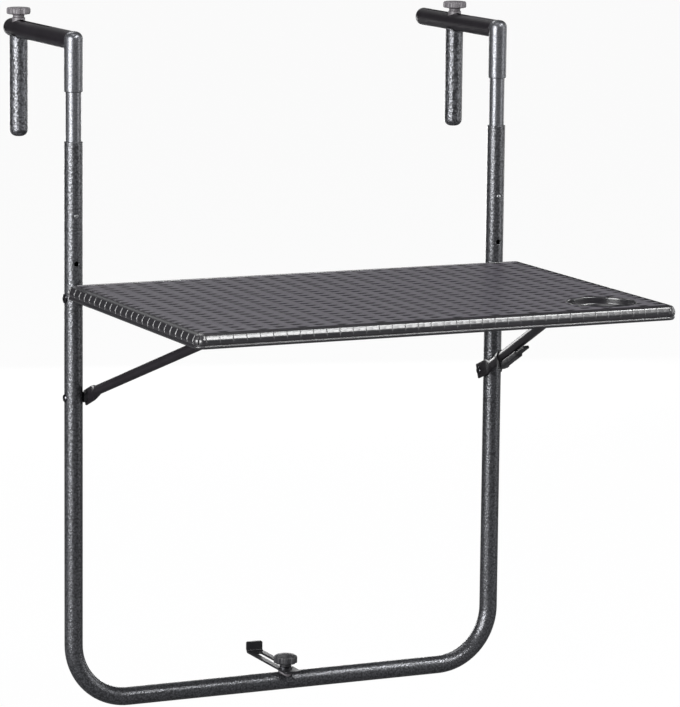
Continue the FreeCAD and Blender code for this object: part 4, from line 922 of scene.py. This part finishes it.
class RAILINGTABLE_OT_hooks(bpy.types.Operator):
    """Form both hooks: hammer-tone sleeve with its domed top, smooth slotted arm, weld and end cap"""
    bl_idname = "railing_table.hooks"
    bl_label = "Hooks"

    def execute(self, context):
        sizes = context.scene.railing_table_tubes
        colours = context.scene.railing_table_finishes
        hammered, smooth = fine_hammer_enamel(colours), satin_enamel(colours)
        for word, side in (LEFT, RIGHT):
            x = side * LEG_X
            new_piece("hook_sleeve_" + word, [self.sleeve(x, sizes)], hammered, "hook_" + word,
                      ["hook_tube_" + word], sharp=50, wall=sizes.wall / MM)
            new_piece("hook_arm_" + word, [self.arm(x)], smooth, "hook_" + word,
                      sharp=50, wall=sizes.wall / MM)
            new_piece("hook_weld_" + word, [self.weld(x, sizes)], smooth, "hook_" + word,
                      sharp=80)
            new_piece("hook_end_cap_" + word, [self.cap(x)], black_moulding(colours), "hook_" + word,
                      ["hook_cap_" + word], sharp=40)
        return {"FINISHED"}

    def dome_radius(self, z, sizes):
        """Radius of the sleeve: full up to the dome, then a quarter round of the dome's radius."""
        dome = sizes.dome / MM
        rise = np.clip(z - (2 * TUBE_R - dome), 0, dome)
        return TUBE_R - dome + np.sqrt(dome ** 2 - rise ** 2)

    def sleeve(self, x, sizes):
        """The sleeve's profile, turned: a rounded lip, the straight wall and a domed top."""
        low = node_box("hook_tube_left")[0][2]
        lip, dome = sizes.lip / MM, sizes.dome / MM
        turn = np.linspace(0, math.pi / 2, 9)
        wall = np.linspace(low + lip, 2 * TUBE_R - dome, 24)
        profile = np.concatenate([
            np.stack([TUBE_R - lip + lip * np.sin(turn), low + lip - lip * np.cos(turn)], axis=1)[:-1],
            np.stack([np.full(24, TUBE_R), wall], axis=1),
            np.stack([TUBE_R - dome + dome * np.cos(turn),
                      2 * TUBE_R - dome + dome * np.sin(turn)], axis=1)[1:],
            [[2.5, 2 * TUBE_R], [0.0, 2 * TUBE_R]]])
        return Shell(moved(turned(profile, 72), (x, LEG_Y, 0)))

    def arm(self, x):
        """The arm: a tube along Y, slotted on top and below, starting inside the sleeve.

        Its wall leans in at the slot's sides, so SLOT_HALF is 0.3 more than the 3.5 of the CAD slot.
        """
        end = node_box("hook_tube_left")[1][1]
        rows = np.unique(np.concatenate([np.linspace(LEG_Y + 2, end, 66),
                                         np.linspace(SLOT_FRONT - 4.5, SLOT_FRONT + 1.5, 12),
                                         np.linspace(SLOT_BACK - 1.5, SLOT_BACK + 4.5, 12)]))
        cosine, sine = ring(80, ARM_R)
        points = np.stack([np.full(rows.shape, x), rows, np.full(rows.shape, TUBE_R)], axis=1)
        heading = np.broadcast_to(np.array([0.0, 1.0, 0.0]), points.shape)
        grid = carried(points, heading, (0, 0, 1), cosine, sine)
        drop = np.zeros(grid.shape[:2], bool)
        for up in (1, -1):
            z = TUBE_R + up * TUBE_R
            grid, drop = pierced(grid, drop, (x, SLOT_FRONT, z), (x, SLOT_BACK, z), SLOT_HALF, (0, 0, up),
                                 ((x, 0, TUBE_R), (0, 1, 0), ARM_R))
        return Shell(grid, drop=drop)

    def weld(self, x, sizes):
        """A thin bead along the curve where the arm meets the sleeve: y = sqrt(r(z)^2 - x^2).

        The bead's radius is 0.7 mm, with a ripple of a tenth, and stays within the tube's outline.
        """
        angles = np.linspace(0, 2 * math.pi, 96, endpoint=False)
        z = TUBE_R + (TUBE_R - 0.2) * np.sin(angles)
        across = (TUBE_R - 0.2) * np.cos(angles)
        y = LEG_Y + np.sqrt(np.maximum(self.dome_radius(z, sizes) ** 2 - across ** 2, 0))
        path = np.stack([x + across, y, z], axis=1)
        ahead = np.roll(path, -1, axis=0) - np.roll(path, 1, axis=0)
        ahead = ahead / np.linalg.norm(ahead, axis=1)[:, None]
        outward = path - np.array([x, LEG_Y - 6, TUBE_R])
        outward = outward / np.linalg.norm(outward, axis=1)[:, None]
        side = np.cross(outward, ahead)
        side = side / np.linalg.norm(side, axis=1)[:, None]
        square = np.cross(ahead, side)
        cosine, sine = ring(10, 0.7)
        ripple = 1 + 0.1 * np.sin(angles * 31)
        points = (path[:, None] + (side[:, None] * cosine[None, :, None]
                                   + square[:, None] * sine[None, :, None]) * ripple[:, None, None])
        points[..., 0] = np.clip(points[..., 0], x - TUBE_R, x + TUBE_R)
        points[..., 2] = np.clip(points[..., 2], 0.0, 2 * TUBE_R)
        return Shell(points, wrap_rows=True)

    def cap(self, x):
        """The push-in cap: stem, flange with a rounded rim and a shallow ring on its face."""
        flange = node_box("hook_cap_left")[1][1] - CAP_THICK
        profile = softened([(0.0, -9.8), (TUBE_R - 2.4, -9.8), (TUBE_R - 1.65, -9.0), (TUBE_R - 1.65, 0.0),
                            (TUBE_R, 0.0), (TUBE_R, 1.6), (TUBE_R - 1.3, 3.3), (7.4, 3.75), (6.9, 3.3),
                            (6.3, 3.3), (5.8, 3.85), (0.0, CAP_THICK)], 0.9, 5)
        return Shell(moved(facing_y(turned(profile, 64)), (x, flange, TUBE_R)))


class RAILINGTABLE_OT_drop_pins(bpy.types.Operator):
    """Form both drop pins: hammer-tone tube, domed foot and a mouth that fits the arm above"""
    bl_idname = "railing_table.drop_pins"
    bl_label = "Drop Pins"

    def execute(self, context):
        sizes = context.scene.railing_table_tubes
        finish = deep_hammer_enamel(context.scene.railing_table_finishes)
        for word, side in (LEFT, RIGHT):
            low, high = node_box("drop_pin_" + word)
            points = moved(self.pin(low[2], high[2]), (side * LEG_X, (low[1] + high[1]) / 2, 0))
            new_piece("drop_pin_tube_" + word, [Shell(points)], finish, "pin_" + word,
                      ["drop_pin_" + word], sharp=50, wall=sizes.wall / MM)
        return {"FINISHED"}

    def pin(self, low, high):
        """Foot: radius R - d + d cos a, height d - d sin a; top edge: R - sqrt((R + 0.3)^2 - x^2), with
        the tube's radius R and the dome's radius d."""
        dome = PIN_DOME
        turn = np.linspace(math.pi / 2, 0, 10)
        foot = np.stack([TUBE_R - dome + dome * np.cos(turn), low + dome - dome * np.sin(turn)], axis=1)
        wall = np.stack([np.full(30, TUBE_R), np.linspace(low + dome, MOUTH_START, 31)[1:]], axis=1)
        grid = turned(np.concatenate([[[0.0, low]], foot, wall]), 72)
        rim = grid[-1]
        mouth = np.minimum(high, TUBE_R - np.sqrt((TUBE_R + 0.3) ** 2 - rim[:, 0] ** 2))
        share = np.linspace(0, 1, 8)[1:, None]
        top = np.repeat(rim[None], 7, axis=0)
        top[..., 2] = MOUTH_START + (mouth[None] - MOUTH_START) * share
        return np.concatenate([grid, top])


# The support bar and its release lever

PIVOT_LOW, PIVOT_HIGH = node_box("bar_rivet_left")
PIVOT_Z = (PIVOT_LOW[2] + PIVOT_HIGH[2]) / 2
BAR = {"rise": math.asin(118.5 / 322.5), "length": 322.5, "blade_x": 261.8, "front_x": 210.0,
       "blade": 22.0, "crimp": 18.0, "tail": 6.0}
LEVER = {"base": 78.0, "below": 11.0, "tail": -4.0, "step": 71.2, "tip": 106.0, "ridge_pitch": 4.5}
BAR_AHEAD = np.array([0, -math.cos(BAR["rise"]), math.sin(BAR["rise"])])
BAR_DOWN = np.array([0, -math.sin(BAR["rise"]), -math.cos(BAR["rise"])])


def on_bar(x, ahead, below=0.0):
    """A point given across, along and below the bar's plane, which starts at the pivot."""
    return np.array([x, LEG_Y, PIVOT_Z]) + BAR_AHEAD * ahead + BAR_DOWN * below


class RAILINGTABLE_OT_support_bar(bpy.types.Operator):
    """Bend the support bar: tube, crimped flat ends and the release lever below its right arm"""
    bl_idname = "railing_table.support_bar"
    bl_label = "Support Bar"

    def execute(self, context):
        sizes = context.scene.railing_table_tubes
        colours = context.scene.railing_table_finishes
        new_piece("support_bar_tube", [self.bar(sizes)], satin_enamel(colours), "bar", ["support_bar"],
                  sharp=40)
        new_piece("release_lever_moulding", [self.lever()], black_moulding(colours), "lever",
                  ["release_lever"], sharp=40)
        return {"FINISHED"}

    def bar(self, sizes):
        """Sections along the U: a flat blade that swells through a crimp into a round tube."""
        x, front = BAR["blade_x"], BAR["front_x"]
        start = BAR["blade"] + BAR["crimp"]
        corners = [on_bar(-x, -BAR["tail"]), on_bar(-x, start), on_bar(-front, BAR["length"]),
                   on_bar(front, BAR["length"]), on_bar(x, start), on_bar(x, -BAR["tail"])]
        bend = sizes.bar_bend / MM
        total = along(corners, bend, 20)[2][-1]
        points, heading, run = along(corners, bend, 3.5, [
            (0, 1.0, 0.15), (20, 52, 1.2), (total - 52, total - 20, 1.2), (total - 1.0, total, 0.15)])
        end = np.minimum(run, run[-1] - run)
        blend = smooth_step(end, BAR["tail"] + BAR["blade"] - 3, BAR["tail"] + start + 2)
        shrink = rounding(end, 0.55)
        across, up = squared_ring(56, 1.5 + 4.5 * blend - shrink, 9.25 - 3.25 * blend - shrink,
                                  7.0 - 5.0 * np.sqrt(blend))
        return Shell(carried(points, heading, BAR_DOWN, across, up), first=True, last=True)

    def lever(self):
        """Sections along the lever: a rounded body, a step, then a thin tongue with finger ridges.

        The ridges are 0.2 * (1 + cos), the body has a waist of 0.5 * exp(-(distance / 5)^2) at its
        middle, and both ends draw in by a quarter round of 1 mm.
        """
        tail, tip = LEVER["tail"], LEVER["tip"]
        ahead = np.unique(np.concatenate([
            np.linspace(tail, tail + 1, 6), np.linspace(tail + 1, 71, 60), np.linspace(71, 74, 10),
            np.linspace(74, tip - 1, 50), np.linspace(tip - 1, tip, 6)]))
        step = smooth_step(ahead, LEVER["step"], LEVER["step"] + 2)
        ridges = 0.2 * (1 + np.cos(ahead * 2 * math.pi / LEVER["ridge_pitch"]))
        ridges = ridges * smooth_step(ahead, 78, 80) * (1 - smooth_step(ahead, 100, 102))
        waist = 0.5 * np.exp(-((ahead - 38) / 5.0) ** 2)
        shrink = rounding(np.minimum(ahead - tail, tip - ahead), 1.0)
        lean = math.atan((BAR["blade_x"] - BAR["front_x"]) / (BAR["length"] - BAR["blade"] - BAR["crimp"]))
        x = BAR["blade_x"] - (LEVER["base"] - BAR["blade"] - BAR["crimp"]) * math.tan(lean)
        way = BAR_AHEAD * math.cos(lean) + np.array([-math.sin(lean), 0, 0])
        points = on_bar(x, LEVER["base"], LEVER["below"]) + way * ahead[:, None]
        points = points - BAR_DOWN * 0.4 * step[:, None]
        heading = np.broadcast_to(way, points.shape)
        across, up = squared_ring(40, 4.5 - 0.6 * step - waist - shrink,
                                  4.0 - 2.0 * step - shrink - ridges, 5.0)
        return Shell(carried(points, heading, BAR_DOWN, across, up), first=True, last=True)


# Knobs and the foot clamp

KNOB_RIM, CUT_CENTRE, NECK = 14.5, 16.4, 4.0
STRIP_WALL, STRIP_FOLD = 2.5, 1.5
STRIP_SLOT = {"front": -15.0, "back": 69.75, "half": 3.75}


class RAILINGTABLE_OT_knobs(bpy.types.Operator):
    """Turn the three scalloped clamp knobs with their necks and domed heads"""
    bl_idname = "railing_table.knobs"
    bl_label = "Clamp Knobs"

    def execute(self, context):
        sizes = context.scene.railing_table_knobs
        colours = context.scene.railing_table_finishes
        for node, body, dome, tint in (("clamp_knob_left", "knob_left", 0.8, colours.nylon),
                                       ("clamp_knob_right", "knob_right", 0.8, colours.nylon),
                                       ("foot_knob", "foot_knob", 2.6, shade_of(colours.black, 1.6))):
            low, high = node_box(node)
            centre = (low + high) / 2
            profile = self.profile(high[2] - low[2] - dome, dome, sizes.edge / MM)
            finish = moulded_nylon(colours, node + "_nylon", shade_of(tint, 1.0))
            points = moved(turned(profile, 192, self.scallops(sizes.scallop / MM)),
                           (centre[0], centre[1], low[2]))
            new_piece(node + "_moulding", [Shell(points)], finish, body, [node], sharp=50)
        return {"FINISHED"}

    def scallops(self, cut):
        """A radius rule: the rim is cut by eight circles struck a distance D from the axis.

        The cut's radius is D cos a - sqrt(c^2 - D^2 sin^2 a), blended with the rim by a soft minimum;
        towards the middle of the knob the cut fades out.
        """
        def rule(angle, radius):
            rim, reach, blend = KNOB_RIM, CUT_CENTRE, 0.32
            local = np.abs(np.mod(angle + math.pi / 8, math.pi / 4) - math.pi / 8)
            under = cut ** 2 - (reach * np.sin(local)) ** 2
            bound = np.where(under > 0, reach * np.cos(local) - np.sqrt(np.maximum(under, 0)), rim + 2)
            limit = -blend * np.log(np.exp(-rim / blend) + np.exp(-bound / blend))
            return radius - (rim - limit) * smooth_step(radius, 9.6, 13.2)
        return rule

    def profile(self, top, dome, edge):
        """Neck, underside, rim and domed top with a shallow ring, as radius and height."""
        return np.concatenate([
            softened([(0.0, 0.0), (6.4, 0.0), (7.0, 0.4), (7.0, NECK - 1.0), (8.6, NECK), (13.2, NECK + 0.1),
                      (KNOB_RIM, NECK + 1.0), (KNOB_RIM, top - 1.6), (13.4, top - 0.05)], edge, 6),
            softened([(12.4, top + dome * 0.12), (9.6, top + dome * 0.44), (9.2, top + dome * 0.3),
                      (8.8, top + dome * 0.44), (4.0, top + dome * 0.9), (0.0, top + dome)], 0.5, 5)])


class RAILINGTABLE_OT_foot_clamp(bpy.types.Operator):
    """Fold the foot clamp's slotted strip with its upturned end and rubber pad"""
    bl_idname = "railing_table.foot_clamp"
    bl_label = "Foot Clamp"

    def execute(self, context):
        colours = context.scene.railing_table_finishes
        low, high = node_box("foot_strip")
        new_piece("foot_strip_folded", [self.strip(low, high)], black_satin_enamel(colours), "foot",
                  ["foot_strip"], sharp=40, wall=STRIP_WALL, bevel=0.3)
        low, high = node_box("foot_pad")
        new_piece("foot_pad_moulding", [self.pad(low, high)], soft_rubber(colours), "foot", ["foot_pad"],
                  sharp=40)
        return {"FINISHED"}

    def strip(self, low, high):
        """The strip's upper and inner face along its fold, slotted; the wall goes down and outwards."""
        top, inner, fold = low[2] + STRIP_WALL, high[1] - STRIP_WALL, STRIP_FOLD
        turn = np.linspace(0, math.pi / 2, 10)
        flat = np.unique(np.concatenate([np.linspace(low[1], low[1] + 3, 8),
                                         np.linspace(low[1] + 3, inner - fold, 88)]))
        path = np.concatenate([
            np.stack([flat, np.full(flat.shape, top)], axis=1)[:-1],
            np.stack([inner - fold + fold * np.sin(turn), top + fold - fold * np.cos(turn)], axis=1),
            np.stack([np.full(12, inner), np.linspace(top + fold + 0.1, high[2], 12)], axis=1)])
        half, slot = high[0], STRIP_SLOT
        right = np.array([1.5, 2.9, slot["half"], 4.6, half - 3, half - 1.4, half - 0.4, half])
        xs = np.concatenate([-right[::-1], [0], right])
        tip = np.where(path[:, 0] > inner - 0.1, high[2] - path[:, 1], 9.0)
        trim = (rounding(path[:, 0] - low[1], 2.5) + rounding(tip, 2.0))[:, None]
        x = np.sign(xs)[None] * np.minimum(np.abs(xs)[None], half - trim)
        y, z = np.broadcast_to(path[:, :1], x.shape), np.broadcast_to(path[:, 1:], x.shape)
        points, drop = pierced(np.stack([x, y, z], axis=2), np.zeros(x.shape, bool), (0, slot["front"], top),
                               (0, slot["back"], top), slot["half"], (0, 0, 1))
        return Shell(points, wrap_columns=False, drop=drop)

    def pad(self, low, high):
        """The pad: superellipse sections along Y, drawn in at its front edge."""
        centre, half = (low + high) / 2, (high - low) / 2
        y = np.array([low[1], low[1] + 0.1, high[1] - 0.9, high[1] - 0.35, high[1] - 0.05])
        draw = np.array([0.4, 0.0, 0.0, 0.25, 0.85])
        across, up = squared_ring(48, half[0] - draw, half[2] - draw, 9.0)
        y = np.broadcast_to(y[:, None], across.shape)
        return Shell(np.stack([centre[0] + across, y, centre[2] + up], axis=2), first=True, last=True)


# Finishes on the nodes whose CAD shape is right

# Every finish takes the user's colours, also one that needs none, so that this table can call them all
CAD_FINISHES = {
    "hammered_enamel": hammer_tone_enamel, "satin_enamel": satin_enamel, "black_enamel": black_satin_enamel,
    "moulded_top": moulded_polypropylene, "knob_plastic": moulded_nylon, "cap_plastic": black_moulding,
    "pad_rubber": soft_rubber, "dark_steel": blackened_steel, "zinc_steel": zinc_plate,
    "spring_steel": spring_wire,
}


class RAILINGTABLE_OT_fittings(bpy.types.Operator):
    """Give every remaining CAD piece the finish of its real material"""
    bl_idname = "railing_table.fittings"
    bl_label = "Fittings"

    def execute(self, context):
        colours = context.scene.railing_table_finishes
        for part in frame["record"]["subparts"]:
            if part["node"].startswith("inner_tube"):
                finish = fine_hammer_enamel(colours)
            elif part["node"] in ("foot_washer", "foot_screw"):
                finish = blackened_steel(colours)
            else:
                finish = CAD_FINISHES[part["material_slot"]](colours)
            node = frame["nodes"][part["node"]]
            if not node.material_slots:
                node.data.materials.append(finish)
            for holder in node.material_slots:
                holder.material = finish
        return {"FINISHED"}


class RAILINGTABLE_PT_panel(bpy.types.Panel):
    """Sizes, finishes and one button for each group of pieces"""
    bl_idname = "RAILINGTABLE_PT_panel"
    bl_label = "Railing Table"
    bl_space_type = "VIEW_3D"
    bl_region_type = "UI"
    bl_category = "Railing Table"

    def draw(self, context):
        for group in GROUPS:
            box = self.layout.box()
            holder = getattr(context.scene, group)
            for name in holder.__annotations__:
                box.prop(holder, name)
        for operator in OPERATORS:
            self.layout.operator(operator.bl_idname)


OPERATORS = (RAILINGTABLE_OT_stage, RAILINGTABLE_OT_fittings, RAILINGTABLE_OT_moulded_top,
             RAILINGTABLE_OT_frame_tube, RAILINGTABLE_OT_hooks, RAILINGTABLE_OT_drop_pins,
             RAILINGTABLE_OT_support_bar, RAILINGTABLE_OT_knobs, RAILINGTABLE_OT_foot_clamp)
GROUPS = {"railing_table_top": RailingTableTopSizes, "railing_table_tubes": RailingTableTubeSizes,
          "railing_table_knobs": RailingTableKnobSizes, "railing_table_finishes": RailingTableFinishes}
CLASSES = tuple(GROUPS.values()) + OPERATORS + (RAILINGTABLE_PT_panel,)


def register():
    """Register the classes and hang each group of properties on the scene."""
    for cls in CLASSES:
        bpy.utils.register_class(cls)
    for name, group in GROUPS.items():
        setattr(bpy.types.Scene, name, bpy.props.PointerProperty(type=group))


def unregister():
    """Take the groups off the scene and unregister the classes."""
    for name in GROUPS:
        delattr(bpy.types.Scene, name)
    for cls in reversed(CLASSES):
        bpy.utils.unregister_class(cls)


def main():
    """Register the classes and make every piece in order."""
    register()
    for operator in OPERATORS:
        group, name = operator.bl_idname.split(".")
        getattr(getattr(bpy.ops, group), name)()


if __name__ == "__main__":
    main()
